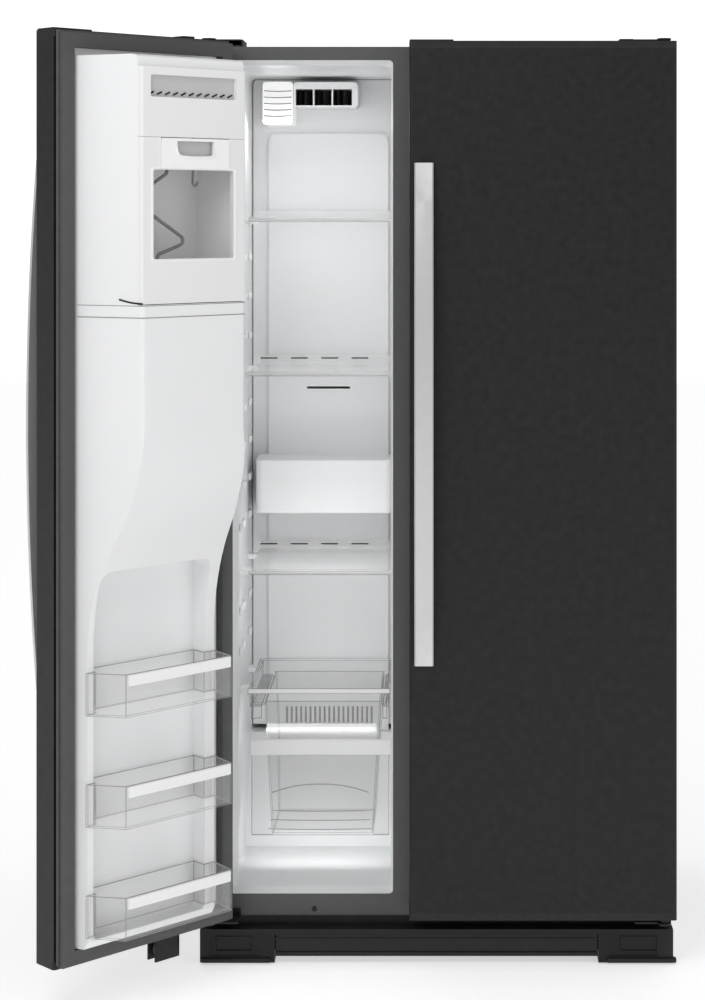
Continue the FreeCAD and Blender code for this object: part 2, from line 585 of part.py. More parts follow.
# ---------------------------------------------------------------- freezer compartment
# The cover and what it carries are laid out between two lines inside the walls.
left_wall, right_wall = f"({FREEZER_LEFT} + 16)", f"({FREEZER_RIGHT} - 1)"
COVER_TOP = "(cabinet_top - 61)"
RETURN_SLOTS = 19
FAN_X = f"({left_wall} + 152.5)"
FAN_Z = "(lower_shelf + 142.5)"
FAN_RADIUS = 46
cover_parts = [
    rounded("cover_sheet", box("cover_sheet_block", (f"{left_wall} - 10", f"{right_wall} - 5"),
                               ("cover_front + 10", "cover_front + 12"),
                               ("hump_top + opening_round + 2", f"{OPENING_TOP} - floor_inset - 1")),
                               "opening_round",
            lambda edge: runs_along(edge, AXES["y"]) and edge.CenterOfMass.z > value(FAN_Z)),
    rounded("cover_panel", box("cover_panel_block", (f"{left_wall} + 23.5", f"{right_wall} - 18"),
                               ("cover_front", "cover_front + 11"), ("hump_top", f"{COVER_TOP} - 91")),
                               "20",
            lambda edge: runs_along(edge, AXES["y"]) and edge.CenterOfMass.z > value(FAN_Z)),
    # The fan's motor hangs on a bridge behind the cover.
    box("fan_bridge", (f"{FAN_X} - 62", f"{FAN_X} + 62"), ("cover_front + 46", "cover_front + 49"),
        (f"{FAN_Z} - 6", f"{FAN_Z} + 6")),
    rod("bridge_motor", "y", (FAN_X, "cover_front + 47", FAN_Z), "20", "18"),
    rod("bridge_shaft", "y", (FAN_X, "cover_front + 24", FAN_Z), "shaft_radius", "24"),
]
cover_parts += [
    box(f"fan_leg_{n}", (f"{FAN_X} + {low}", f"{FAN_X} + {low + 6}"),
        ("cover_front + 11", "cover_front + 49"),
        (f"{FAN_Z} - 6", f"{FAN_Z} + 6"))
    for n, low in enumerate((-62, 56))
]
cover_cuts = [
    soft_box("cover_slot", (f"{left_wall} + 105.5", f"{left_wall} + 197.5"),
             ("cover_front - 1", "cover_front + 14"),
             (f"{FAN_Z} + 194", f"{FAN_Z} + 199"), "y", "2"),
    rod("fan_hole", "y", (FAN_X, "cover_front - 1", FAN_Z), FAN_RADIUS + 5, "14"),
]
for n in range(RETURN_SLOTS):
    low = f"{left_wall} + 60.5 + {n} * 10.05"
    cover_cuts.append(box(f"return_slot_{n}", (low, f"{low} + 4.6"),
                          ("cover_front - 1", "cover_front + 14"),
                          ("hump_top + 14", "hump_top + 50")))
node("evaporator_cover", cut("evaporator_cover", fuse("cover_joined", *cover_parts), *cover_cuts))

DUCT_FRONT = "(cover_front - 100)"
duct = soft_box("duct_block", (f"{left_wall} + 83.5", f"{left_wall} + 217.5"),
                (DUCT_FRONT, "cover_front + 10"),
                (f"{COVER_TOP} - 39", f"{COVER_TOP} + 14"), "y", "9")
duct_cells = [
    box(f"duct_cell_{n}", (f"{left_wall} + {low}", f"{left_wall} + {high}"),
        (f"{DUCT_FRONT} - 1", f"{DUCT_FRONT} + 70"),
        (f"{COVER_TOP} - 35", f"{COVER_TOP} - 1"))
    for n, (low, high) in enumerate(((88, 124), (127, 163), (166, 205.5)))
]
node("air_duct", cut("air_duct", duct, *duct_cells))

lamp_base = soft_box("lamp_base", (f"{left_wall} + 19.5", f"{left_wall} + 82.5"),
                     (f"{DUCT_FRONT} - 8", "cover_front + 10"),
                     (f"{COVER_TOP} - 74", f"{COVER_TOP} + 14"), "y", "7")
lamp_ribs = [
    box(f"lamp_rib_{n}", (f"{left_wall} + 19", f"{left_wall} + 83"),
        (f"{DUCT_FRONT} - 9", f"{DUCT_FRONT} - 6.5"),
        (f"{COVER_TOP} - {62 - 13 * n}", f"{COVER_TOP} - {59 - 13 * n}"))
    for n in range(5)
]
node("freezer_lamp_cover", cut("freezer_lamp_cover", lamp_base, *lamp_ribs))

shroud = soft_box("shroud_block", (f"{left_wall} + 5.5", f"{right_wall} - 7"),
                  ("cover_front - 120", "cover_front"),
                  (f"{FAN_Z} - 54.5", f"{FAN_Z} + 54.5"), "z", "16")
shroud_vents = [
    box(f"shroud_vent_{n}", (f"{left_wall} + {48 + 60 * n}", f"{left_wall} + {88 + 60 * n}"),
        ("cover_front - 110", "cover_front - 12"), (f"{FAN_Z} - 60", f"{FAN_Z} - 30"))
    for n in range(4)
]
node("fan_shroud", cut("fan_shroud", shroud, *shroud_vents, rod("shroud_room", "y",
        (FAN_X, "cover_front - 60", FAN_Z), FAN_RADIUS, "70")))

# Evaporator, its fan and the machinery: working parts behind the covers.
FIN_Y = ("cover_front + 20", "liner_back")
fins = [
    box(f"evaporator_fin_{n}", (f"{left_wall} + {38 + 9 * n}", f"{left_wall} + {39 + 9 * n}"), FIN_Y,
        ("hump_top + 98", "hump_top + 408"))
    for n in range(27)
]
tubes = [
    rod(f"evaporator_tube_{row}_{column}", "x",
        (f"{left_wall} + 31", f"cover_front + {32 + 34 * column}", f"hump_top + {118 + 45 * row}"), 4, 248)
    for row in range(7) for column in range(2)
]
node("evaporator_coil", fuse("evaporator_coil", *fins, *tubes))


def fan(name, centre, along, radius, blades, depth):
    """A hub with twisted blades that stand across the fan's axis and a bore for its motor's shaft."""
    pieces = [rod(name + "_hub", along, centre, 0.28 * radius, depth)]
    for n in range(blades):
        blade = doc.addObject("Part::Box", f"{name}_blade_{n}")
        blade.Length, blade.Width, blade.Height = 0.42 * radius, 2.0, 0.85 * radius
        spin = FreeCAD.Rotation(V(0, 1, 0), 360 / blades * n)
        pitch = FreeCAD.Rotation(V(0, 0, 1), 28)
        start = spin.multVec(pitch.multVec(V(-0.21 * radius, -1, 0)) + V(0, 0, 0.15 * radius))
        turn = FreeCAD.Rotation() if along == "y" else FreeCAD.Rotation(V(0, 0, 1), -90)
        middle = V(*(value(c) for c in centre)) + turn.multVec(V(0, depth / 2, 0))
        blade.Placement = FreeCAD.Placement(middle + turn.multVec(start), turn * spin * pitch)
        pieces.append(blade)
    start = [f"{place} - 1" if axis == along else place for axis, place in zip("xyz", centre)]
    bore = rod(name + "_bore", along, start, "shaft_radius + pin_clearance", depth + 2)
    return cut(name, fuse(name + "_joined", *pieces), bore)


node("evaporator_fan", fan("evaporator_fan", (FAN_X, "cover_front + 20", FAN_Z), "y", FAN_RADIUS, 5, 22))
node("condenser_fan", fan("condenser_fan", CONDENSER_FAN, "x", 68, 5, FAN_DEPTH))

PUMP_Y = f"({CASE_BACK} - 95)"
compressor_can = rounded("compressor_can", rod("compressor_drum", "z", (-270, PUMP_Y, "tray_top + 14"), 78,
                                               158), 34,
                         lambda edge: not runs_along(edge, AXES["z"]))
compressor_parts = [
    compressor_can,
    box("compressor_foot", (-368, -172), (f"{PUMP_Y} - 55", f"{PUMP_Y} + 55"),
        ("tray_top + 6", "tray_top + 12")),
    rod("compressor_post", "z", (-270, PUMP_Y, "tray_top + 6"), 40, 20),
    box("compressor_relay", (-205, -178), (f"{PUMP_Y} - 25", f"{PUMP_Y} + 25"),
        ("tray_top + 56", "tray_top + 121")),
]
compressor_parts += [
    rod(f"compressor_mount_{x}_{y}", "z", (x, f"{PUMP_Y} + {y}", "tray_top"), 11, 20) for x in (-352,
            -188) for y in (-40, 40)
]
node("compressor", fuse("compressor", *compressor_parts))

COIL_Y = (f"{CASE_BACK} - 180", f"{CASE_BACK} - 40")
plates = [box(f"condenser_fin_{n}", (160 + 12 * n, 161.5 + 12 * n), COIL_Y,
              ("tray_top", "tray_top + 186")) for n in range(20)]
pipes = [
    rod(f"condenser_pipe_{row}_{column}", "x", (154, f"{CASE_BACK} - {155 - 45 * column}",
                                                f"tray_top + {31 + 34 * row}"), 4, 246)
    for row in range(5) for column in range(3)
]
node("condenser_coil", fuse("condenser_coil", *plates, *pipes))

pan_outer = box("pan_outer", (-140, 20), (f"{CASE_BACK} - 185", f"{CASE_BACK} - 35"),
                ("tray_top", "tray_top + 35"))
pan_inner = box("pan_inner", (-137, 17), (f"{CASE_BACK} - 182", f"{CASE_BACK} - 38"),
                ("tray_top + 3", "tray_top + 40"))
node("drain_pan", cut("drain_pan", pan_outer, pan_inner))

rear_cover = box("rear_cover", (f"-{HALF} + 4", f"{HALF} - 4"), (PANEL_FRONT, CASE_BACK),
                 ("tray_top", "machine_top - 1"))
rear_slots = [
    box(f"rear_slot_{row}_{column}", (-330 + 70 * column, -280 + 70 * column),
        (f"{PANEL_FRONT} - 1", f"{CASE_BACK} + 1"),
        (110 + 16 * row, 116 + 16 * row))
    for row in range(8) for column in range(10)
]
node("machine_cover", cut("machine_cover", rear_cover, *rear_slots))


def shelf(name, x, top, front, back, lip=None):
    """A flat shelf with a thick front bar between two ends, and an optional back lip."""
    parts = [box(name + "_plate", x, (front, back), (f"{top} - shelf_thick", top)),
             soft_box(name + "_bar", x, (front, f"{front} + 12"), (f"{top} - shelf_bar", f"{top} + 1"), "x",
                      "1.5")]
    if lip:
        parts.append(box(name + "_lip", x, (f"{back} - 3", back), (f"{top} - 1", f"{top} + {lip}")))
    return fuse(name, *parts)


for label, top in FREEZER_SHELVES.items():
    node(label, shelf(label, FREEZER_ENDS, top, "shelf_front", "shelf_back", lip=14))

# The shelf over the drawer carries two rails that the drawer's rim slides on.
RAIL_TOP = "(drawer_rim - 8)"
rail_parts = [shelf("cover_plate", FREEZER_ENDS, "cover_shelf", "shelf_front", "shelf_back")]
rail_y = ("shelf_front + 8", "shelf_back - 4")
for side, end in ((1, FREEZER_ENDS[0]), (-1, FREEZER_ENDS[1])):
    def stretch(near, far, side=side, end=end):
        """A stretch measured inwards from one end of the shelf."""
        low, high = f"{end} + {side} * {near}", f"{end} + {side} * {far}"
        return (low, high) if side > 0 else (high, low)

    reach = 26 if side > 0 else 14
    rail_parts += [
        box(f"drawer_web_{side + 1}", stretch(3.5, 6.5), rail_y, (f"{RAIL_TOP} - 3", "cover_shelf - 3")),
        box(f"drawer_rail_{side + 1}", stretch(3.5, reach), rail_y, (f"{RAIL_TOP} - 3", RAIL_TOP)),
        box(f"drawer_tab_{side + 1}", stretch(6, reach), ("shelf_front + 7", "shelf_front + 10"),
            (f"{RAIL_TOP} - 26", RAIL_TOP)),
    ]
node("drawer_cover_shelf", fuse("drawer_cover_shelf", *rail_parts))


def drawer(name, ends, front, back, base, rim, wing_top, clear):
    """A clear tub with sloped sides, a wide front plate and a back cut to clear the hump."""
    left, right = f"({ends[0]} + 33)", f"({ends[1]} - 18)"

    def tub(part, grow):
        outline = [(f"{left} + 15 + {grow}", f"{base} + {grow}"),
                   (f"{right} - 15 - {grow}", f"{base} + {grow}"),
                   (f"{right} - {grow}", f"{rim} + {grow}"), (f"{left} + {grow}", f"{rim} + {grow}")]
        body = prism(f"{name}_{part}", "xz", outline, f"{front} + {grow}", f"{back} - {grow}")
        # The slope stays parallel to the hump in the liner's floor.
        slope = prism(f"{name}_{part}_slope", "yz", [
            (f"{front} - 50", f"{base} - 50"), (f"hump_front - {clear} - {grow}", f"{base} - 50"),
            (f"hump_back - {clear} - {grow}", f"hump_top - {grow} + 20"),
            (f"hump_back - {clear} - {grow}", f"{rim} + 50"),
            (f"{front} - 50", f"{rim} + 50")], *ends)
        return common(f"{name}_{part}_cut", body, slope)

    shell = cut(f"{name}_shell", tub("outer", "0"), tub("inner", "drawer_wall"))
    plate = box(f"{name}_plate", (f"{ends[0]} + 7", f"{ends[1]} - 2"), (f"{front} - 3", f"{front} + 1"),
                (base, wing_top))
    flange_y = (f"{front} + 8", f"{back} - 30")
    flanges = [
        box(f"{name}_flange_left", (f"{ends[0]} + 9", f"{left} + 2"), flange_y,
            (f"{rim} - 8 + slide_gap", f"{rim} - 4")),
        box(f"{name}_flange_right", (f"{right} - 2", f"{ends[1]} - 8.5"), flange_y,
            (f"{rim} - 8 + slide_gap", f"{rim} - 4")),
    ]
    return fuse(name, shell, plate, *flanges)


node("freezer_drawer", drawer("freezer_drawer", FREEZER_ENDS, "(shelf_front + 6)", "(shelf_back - 6)",
                              "drawer_base", "drawer_rim", "drawer_pull - 6", 8))
bar = soft_box("bar_block", (f"{FREEZER_ENDS[0]} + 7", f"{FREEZER_ENDS[1]} + 2"),
               ("shelf_front - 6", "shelf_front + 3"),
               ("drawer_pull - 31", "drawer_pull"), "x", "4")
node("drawer_handle_bar", bar)

# ---------------------------------------------------------------- fridge compartment
node("fridge_shelves", group("fridge_shelves", *[
    shelf(f"fridge_shelf_{n}", FRIDGE_ENDS, top, "shelf_front", "liner_back - 20", lip=10)
    for n, top in enumerate(FRIDGE_SHELVES)
]))
for label, (base, rim) in CRISPERS.items():
    tub_x = (f"{FRIDGE_WALLS[0]} + 8", f"{FRIDGE_WALLS[1]} - 8")
    back = "(liner_back - 40)" if label == "crisper_upper" else "(hump_front - 12)"
    outer = soft_box(label + "_outer", tub_x, (CRISPER_FRONT, back), (base, rim), "z", "10")
    inner = soft_box(label + "_inner", (f"{tub_x[0]} + 3", f"{tub_x[1]} - 3"),
                     (f"{CRISPER_FRONT} + 3", f"{back} - 3"),
                     (f"{base} + 3", f"{rim} + 1"), "z", "8")
    pull = box(label + "_pull", (f"{tub_x[0]} + 60", f"{tub_x[1]} - 60"),
               (f"{CRISPER_FRONT} - 12", f"{CRISPER_FRONT} + 1"),
               (f"{rim} - 16", f"{rim} - 4"))
    runners = [
        box(f"{label}_runner_{n}", x, (f"{CRISPER_FRONT} + 12", "hump_front - 24"),
            (f"{rim} - 6", f"{rim} - 2"))
        for n, x in enumerate(((f"{tub_x[0]} - 6", f"{tub_x[0]} + 2"),
                               (f"{tub_x[1]} - 2", f"{tub_x[1]} + 6")))
    ]
    node(label, fuse(label, cut(label + "_tub", outer, inner), pull, *runners))
tower = soft_box("tower_block", (f"{FRIDGE_WALLS[0]} + 50", f"{FRIDGE_WALLS[1]} - 50"),
                 ("shelf_front + 54", "liner_back"),
                 ("cabinet_top - 107", f"{OPENING_TOP} - floor_inset"), "y", "10")
tower_vents = [
    box(f"tower_vent_{n}", (f"{FRIDGE_WALLS[0]} + {82 + 90 * n}", f"{FRIDGE_WALLS[0]} + {147 + 90 * n}"),
        ("shelf_front + 53", "shelf_front + 124"), ("cabinet_top - 92", "cabinet_top - 67"))
    for n in range(3)
]
node("control_tower", cut("control_tower", tower, *tower_vents))

# ---------------------------------------------------------------- doors
DOOR_SPANS = {"freezer": (DOOR_LEFT, SPLIT_LEFT), "fridge": (SPLIT_RIGHT, DOOR_RIGHT)}
SKIN_Z = ("(door_bottom + cap_height)", "(door_top - cap_height)")


def door_skin(name, span, hole=None):
    """A steel skin folded round a door's front, sides and back lips, open at the top and bottom."""
    left, right = span
    outer = rounded(name + "_outer", box(name + "_block", (left, right), (0, "door_thickness"), SKIN_Z),
                    "door_round",
                    lambda edge: runs_along(edge, AXES["z"]) and edge.CenterOfMass.y < 1)
    inner = rounded(name + "_inner", box(name + "_room", (f"{left} + steel_sheet",
                                                          f"{right} - steel_sheet"),
                    ("steel_sheet", "door_thickness - steel_sheet"),
                    (f"{SKIN_Z[0]} - 1", f"{SKIN_Z[1]} + 1")),
                    "door_round - steel_sheet", lambda edge: runs_along(edge,
                            AXES["z"]) and edge.CenterOfMass.y < 2)
    mouth = box(name + "_mouth", (f"{left} + door_lip", f"{right} - door_lip"),
                ("door_thickness - 5", "door_thickness + 1"),
                (f"{SKIN_Z[0]} - 1", f"{SKIN_Z[1]} + 1"))
    return cut(name, outer, inner, mouth, *([hole] if hole else []))


def door_caps(name, span, pin, free_end):
    """Moulded caps that close a door's ends and hold the bushes for its hinge pins."""
    left, right = span
    caps = []
    for word, low, high in (("low", "door_bottom", SKIN_Z[0]), ("high", SKIN_Z[1], "door_top")):
        cap = rounded(f"{name}_{word}", box(f"{name}_{word}_block", (left, right), (0, "door_thickness"),
                                            (low, high)),
                      "door_round", lambda edge: runs_along(edge, AXES["z"]))
        parts = [cap]
        if word == "high":
            end = (f"{right} - 84", f"{right} - 1") if free_end > 0 else (f"{left} + 1", f"{left} + 84")
            stop = (f"{pin} + 60", f"{pin} + 86") if free_end > 0 else (f"{pin} - 86", f"{pin} - 60")
            parts.append(box(f"{name}_end", end, (6, "door_thickness - 3"),
                             ("door_top - 2", "door_top + 3")))
            parts.append(box(f"{name}_stop", stop, (8, "door_thickness - 3"),
                             ("door_top - 2", "door_top + 4")))
        bore = rod(f"{name}_{word}_bore", "z", (pin, "hinge_setback", f"{low} - 10"),
                   "pin_radius + pin_clearance", "60")
        caps.append(cut(f"{name}_{word}_bored", fuse(f"{name}_{word}_joined", *parts), bore))
    return group(name, *caps)


def door_gasket(name, span, hinge):
    """A magnetic seal: a frame with a fold down its outside, eased where it rolls past the hinge."""
    left, right = span
    frames = []
    for part, near, front, back in (("foot", "gasket_margin", "door_thickness", "door_thickness + 6"),
                                    ("fold", "gasket_margin + 4", "door_thickness + 5",
                                     "door_thickness + 10"),
                                    ("face", "gasket_margin", "door_thickness + 9", GASKET_FACE)):
        outer = box(f"{name}_{part}_out", (f"{left} + {near}", f"{right} - {near}"), (front, back),
                    (f"door_bottom + {near}", f"door_top - {near}"))
        hole = box(f"{name}_{part}_in", (f"{left} + gasket_margin + gasket_width",
                                         f"{right} - gasket_margin - gasket_width"),
                   (f"{front} - 1", f"{back} + 1"),
                   ("door_bottom + gasket_margin + gasket_width",
                    "door_top - gasket_margin - gasket_width"))
        frames.append(cut(f"{name}_{part}", outer, hole))
    edge, inward = (f"{left} + gasket_margin", 1) if hinge < 0 else (f"{right} - gasket_margin", -1)
    corner = [(f"{edge} - {inward}", f"{GASKET_FACE} + 0.1"),
              (f"{edge} - {inward}", f"{GASKET_FACE} - 2.6"),
              (f"{edge} + {12 * inward}", f"{GASKET_FACE} + 0.1")]
    heel = prism(name + "_heel", "xy", corner, "door_bottom", "door_top")
    return cut(name, fuse(name + "_frame", *frames), heel)


def door_core(name, span, pin):
    """The foam-filled middle of a door, with its liner's back face flush with the skin's lips."""
    left, right = span
    block = box(name + "_block", (f"{left} + steel_sheet", f"{right} - steel_sheet"),
                ("steel_sheet", "door_thickness - steel_sheet"),
                SKIN_Z)
    face = box(name + "_face", (f"{left} + door_lip", f"{right} - door_lip"),
               ("door_thickness - steel_sheet", "door_thickness"), SKIN_Z)
    core = rounded(name + "_soft", block, "door_round - steel_sheet",
                   lambda edge: runs_along(edge, AXES["z"]) and edge.CenterOfMass.y < 2)
    wells = [
        rod(f"{name}_well_{word}", "z", (pin, "hinge_setback", low), "pin_radius + 3", "16")
        for word, low in (("low", f"{SKIN_Z[0]} - 1"), ("high", f"{SKIN_Z[1]} - 15"))
    ]
    return cut(name, fuse(name + "_joined", core, face), *wells)


def door_handle(name, middle, post_gap):
    """A flat bar bowed away from the door, on a short post near each end."""
    half = "(handle_length / 2)"
    rise = "(handle_middle - handle_end)"
    bow = f"(({half} ^ 2 + {rise} ^ 2) / (2 * {rise}))"
    top = "handle_base + handle_length"
    bar = prism(name + "_bar", "yz", [
        ("-handle_end", "handle_base", f"-{bow}"), ("-handle_end", top),
        ("-handle_end + handle_thick", top, f"{bow}"), ("-handle_end + handle_thick", "handle_base"),
    ], f"{middle} - handle_width / 2", f"{middle} + handle_width / 2")
    outside = value("-handle_middle + 15")
    bevel(bar, "handle_bevel", lambda edge: edge.Curve.TypeId == "Part::GeomCircle"
          and edge.CenterOfMass.y < outside)
    posts = [
        rod(f"{name}_post_{n}", "y", (middle, "-handle_end + 4", height), "handle_post", "handle_end - 4")
        for n, height in enumerate((f"handle_base + {post_gap}", f"{top} - {post_gap}"))
    ]
    return fuse(name, bar, *posts)


# Freezer door. Its dispenser opens through the skin; the ice bin and ice maker fill its liner's bulge.
DISPENSER_MIDDLE = f"(({DOOR_LEFT} + {SPLIT_LEFT}) / 2)"
DISPENSER_X = (f"({DISPENSER_MIDDLE} - dispenser_width / 2)", f"({DISPENSER_MIDDLE} + dispenser_width / 2)")
TUB_X = (f"{DISPENSER_X[0]} - 3", f"{DISPENSER_X[1]} + 3")
TUB_Z = ("dispenser_base - 3", "dispenser_top + 3")
dispenser_hole = box("dispenser_hole", TUB_X, (-1, 3), TUB_Z)
node("freezer_door_panel", door_skin("freezer_door_panel", DOOR_SPANS["freezer"], dispenser_hole),
     swung=True)
node("freezer_door_caps", door_caps("freezer_door_caps", DOOR_SPANS["freezer"], PIN_LEFT, 1), swung=True)
node("freezer_door_gasket", door_gasket("freezer_door_gasket", DOOR_SPANS["freezer"], -1), swung=True)
node("freezer_handle", door_handle("freezer_handle", f"{SPLIT_LEFT} - handle_edge - handle_width / 2", 40),
     swung=True)

# The liner's bulge: an S-shaped side profile crossed with a plan that narrows towards its face.
ROOT = (f"({DOOR_LEFT} + hinge_margin)", f"({SPLIT_LEFT} - liner_margin)")
FACE = (f"({ROOT[0]} + hinge_draft)", f"({ROOT[1]} - bulge_draft)")
S_DEPTH = "(bulge_depth - dyke_depth)"
S_HEIGHT = "(bulge_high - bulge_low)"
S_RADIUS = f"(({S_DEPTH} ^ 2 + {S_HEIGHT} ^ 2) / (4 * {S_DEPTH}))"
S_MIDDLE = ("(bulge_depth + dyke_depth) / 2", "(bulge_high + bulge_low) / 2")
LINER_LOW = "(door_bottom + liner_margin)"
LINER_HIGH = "(door_top - liner_margin - 13)"
side_outline = [
    ("door_thickness - 1", LINER_LOW), ("dyke_depth - 8", LINER_LOW), ("dyke_depth", f"{LINER_LOW} + 12"),
    ("dyke_depth", "bulge_low", f"-{S_RADIUS}"), (*S_MIDDLE, S_RADIUS), ("bulge_depth", "bulge_high"),
    ("bulge_depth", f"{LINER_HIGH} - 26", "24"), ("bulge_depth - 22", LINER_HIGH),
    ("door_thickness - 1", LINER_HIGH),
]
bulge_side = prism("bulge_side", "yz", side_outline, *ROOT)
bulge_plan = prism("bulge_plan", "xy", [
    (ROOT[0], "door_thickness - 1"), (ROOT[1], "door_thickness - 1"), (FACE[1], "bulge_depth"),
    (FACE[0], "bulge_depth"),
], "door_bottom", "door_top")
soften(bulge_plan, "9", lambda edge: runs_along(edge,
    AXES["z"]) and edge.CenterOfMass.y > value("bulge_depth - 1"))
bulge = common("bulge", bulge_side, bulge_plan)
PAN_X = (f"{ROOT[0]} + dyke_width", f"{ROOT[1]} - dyke_width")
pan = box("pan_block", PAN_X, ("pan_depth", "bulge_depth"), (f"{LINER_LOW} + 15", "bulge_high - 254"))
for word, radius, above in (("pan_foot", "10", False), ("pan_head", "24", True)):
    pan = rounded(word, pan, radius, lambda edge: runs_along(edge,
            AXES["y"]) and (edge.CenterOfMass.z > value("bulge_low")) == above)
ICE_X = (f"({FACE[0]} + 8)", f"({FACE[1]} - 15)")
ice_room = box("ice_room", (f"{ICE_X[0]} - fit_gap", f"{ICE_X[1]} + fit_gap"),
               ("door_thickness + 6", "bulge_depth + 1"),
               ("ice_base - fit_gap", "ice_top - 8"))
plate_room = box("plate_room", (f"{ROOT[0]} - 9", ROOT[1]), ("bulge_depth - ice_plate", "bulge_depth + 9"),
                 ("ice_base - 1.5", "ice_top + 30"))
tub_room = box("tub_room", TUB_X, ("0", "recess_depth + 3"), TUB_Z)
CHUTE_SLANT = 48


def chute(name, radius):
    """The slanted way from the ice bin's floor down to the dispenser's roof."""
    way = doc.addObject("Part::Cylinder", name)
    way.Placement = FreeCAD.Placement(V(), FreeCAD.Rotation(V(1, 0, 0), -CHUTE_SLANT))
    way.setExpression("Height", bound("chute_rise * 1.5 + 36"))
    way.setExpression("Radius", bound(radius))
    for coordinate, place in zip("xyz", (DISPENSER_MIDDLE, "30", "dispenser_top - 14")):
        way.setExpression(f"Placement.Base.{coordinate}", bound(place))
    return way


node("freezer_door_liner", cut(
    "freezer_door_liner", fuse("liner_joined", door_core("freezer_core", DOOR_SPANS["freezer"], PIN_LEFT),
                               bulge),
    pan, ice_room, plate_room, tub_room, chute("liner_chute", "chute_radius")), swung=True)


def ice_face(name, z, radius):
    """A front plate of the ice unit, flush with the bulge's face, with soft corners towards the hinge."""
    plan = prism(name, "xy", [
        (f"{FACE[0]} + 0.5", "bulge_depth - ice_plate"), (f"{FACE[1]} + 3.5", "bulge_depth - ice_plate"),
        (f"{FACE[1]} + 0.5", "bulge_depth"), (f"{FACE[0]} + 0.5", "bulge_depth"),
    ], *z)
    return soften(plan, radius, lambda edge: runs_along(edge,
        AXES["z"]) and edge.CenterOfMass.y > value("bulge_depth - 1"))


# Ice maker cover: a plate with a vent window over a box of slats.
COVER_Z = ("ice_split + 0.6", "ice_top")
cover_plate = ice_face("ice_cover_plate", COVER_Z, "4")
cover_box = box("ice_cover_box", ICE_X, ("bulge_depth - 60", "bulge_depth - ice_plate + 0.5"),
                ("ice_split + 4", "ice_top - 9"))
cover_room = box("ice_cover_room", (f"{ICE_X[0]} + ice_wall", f"{ICE_X[1]} - ice_wall"),
                 ("bulge_depth - 61", "bulge_depth - ice_plate"), ("ice_split + 7", "ice_top - 12"))
VENT_X = (f"({FACE[0]} + 22)", f"({FACE[1]} - 18)")
vent_hole = soft_box("vent_hole", VENT_X, ("bulge_depth - ice_plate - 1", "bulge_depth + 1"),
                     ("ice_top - 53", "ice_top - 14"), "y", "3")
vent_sill = box("vent_sill", VENT_X, ("bulge_depth - 13", "bulge_depth - 9"),
                ("ice_top - 56", "ice_top - 49"))
node("ice_maker_cover", fuse("ice_maker_cover", cut("ice_cover_open",
    fuse("ice_cover_joined", cover_plate, cover_box), cover_room, vent_hole),
                             vent_sill), swung=True)
maker_block = soft_box("maker_block", (f"{ICE_X[0]} + 6", f"{ICE_X[1]} - 6"),
                       ("door_thickness + 6", "bulge_depth - 66"),
                       ("ice_split + 20", "ice_top - 16"), "x", "10")
maker_cups = [
    box(f"maker_cup_{n}", (f"{ICE_X[0]} + {14 + 24 * n}", f"{ICE_X[0]} + {34 + 24 * n}"),
        ("door_thickness + 16", "bulge_depth - 72"),
        ("ice_split + 60", "ice_top"))
    for n in range(7)
]
node("ice_maker", cut("ice_maker", maker_block, *maker_cups), swung=True)

# Ice bin: an open-topped box behind a plate with a clear window and a latch.
BIN_Z = ("ice_base", "ice_split")
WINDOW_X = (f"({FACE[0]} + 29)", f"({FACE[1]} - 24)")
WINDOW_Z = ("ice_base + 79", "ice_base + 237")
LATCH_X = (f"({FACE[0]} + 41)", f"({FACE[1]} - 41)")
bin_plate = ice_face("bin_plate", BIN_Z, "4")
bin_box = box("bin_box", ICE_X, ("door_thickness + 8", "bulge_depth - ice_plate + 0.5"),
              ("ice_base + 1", "ice_split - 22"))
bin_room = box("bin_room", (f"{ICE_X[0]} + ice_wall", f"{ICE_X[1]} - ice_wall"),
               ("door_thickness + 8 + ice_wall", "bulge_depth - ice_plate"),
               ("ice_base + 1 + ice_wall", "ice_split"))
window_hole = soft_box("window_hole", WINDOW_X, ("bulge_depth - ice_plate - 1", "bulge_depth + 1"),
                       WINDOW_Z, "y", "5")
LATCH_PIN = ("bulge_depth - 3", "ice_split - 4")
latch_hole = box("latch_hole", (f"{LATCH_X[0]} - 0.6", f"{LATCH_X[1]} + 0.6"),
                 ("bulge_depth - 7", "bulge_depth + 1"),
                 ("ice_split - 54.6", "ice_split + 1"))
latch_bore = rod("latch_bore", "x", (f"{LATCH_X[0]} - 5", *LATCH_PIN), "1.5 + pin_clearance",
                 f"{LATCH_X[1]} - {LATCH_X[0]} + 10")
finger_hole = box("finger_hole", (f"{LATCH_X[0]} + 32", f"{LATCH_X[1]} - 32"),
                  ("bulge_depth - ice_plate - 1", "bulge_depth + 1"),
                  ("ice_split - 34", "ice_split + 1"))
bin_drop = rod("bin_drop", "z", (DISPENSER_MIDDLE, "door_thickness + 37", "ice_base - 1"), "chute_radius",
               "8")
node("ice_bin", cut("ice_bin", fuse("bin_joined", bin_plate, bin_box), bin_room, window_hole, latch_hole,
                    latch_bore, finger_hole, bin_drop), swung=True)
window_pane = soft_box("window_pane", WINDOW_X, ("bulge_depth - 5.5", "bulge_depth - 2.5"), WINDOW_Z, "y",
                       "5")
node("ice_bin_window", window_pane, swung=True)
latch_plate = soft_box("latch_plate", LATCH_X, ("bulge_depth - 4.5", "bulge_depth + 2"),
                       ("ice_split - 54", "ice_split - 1"), "y", "3")
latch_mouth = rounded("latch_mouth", box("latch_mouth_block", (f"{LATCH_X[0]} + 34", f"{LATCH_X[1]} - 34"),
                      ("bulge_depth - 6", "bulge_depth + 4"), ("ice_split - 34", "ice_split - 6")), "9",
                      lambda edge: runs_along(edge,
                                              AXES["y"]) and edge.CenterOfMass.z < value("ice_split - 33"))
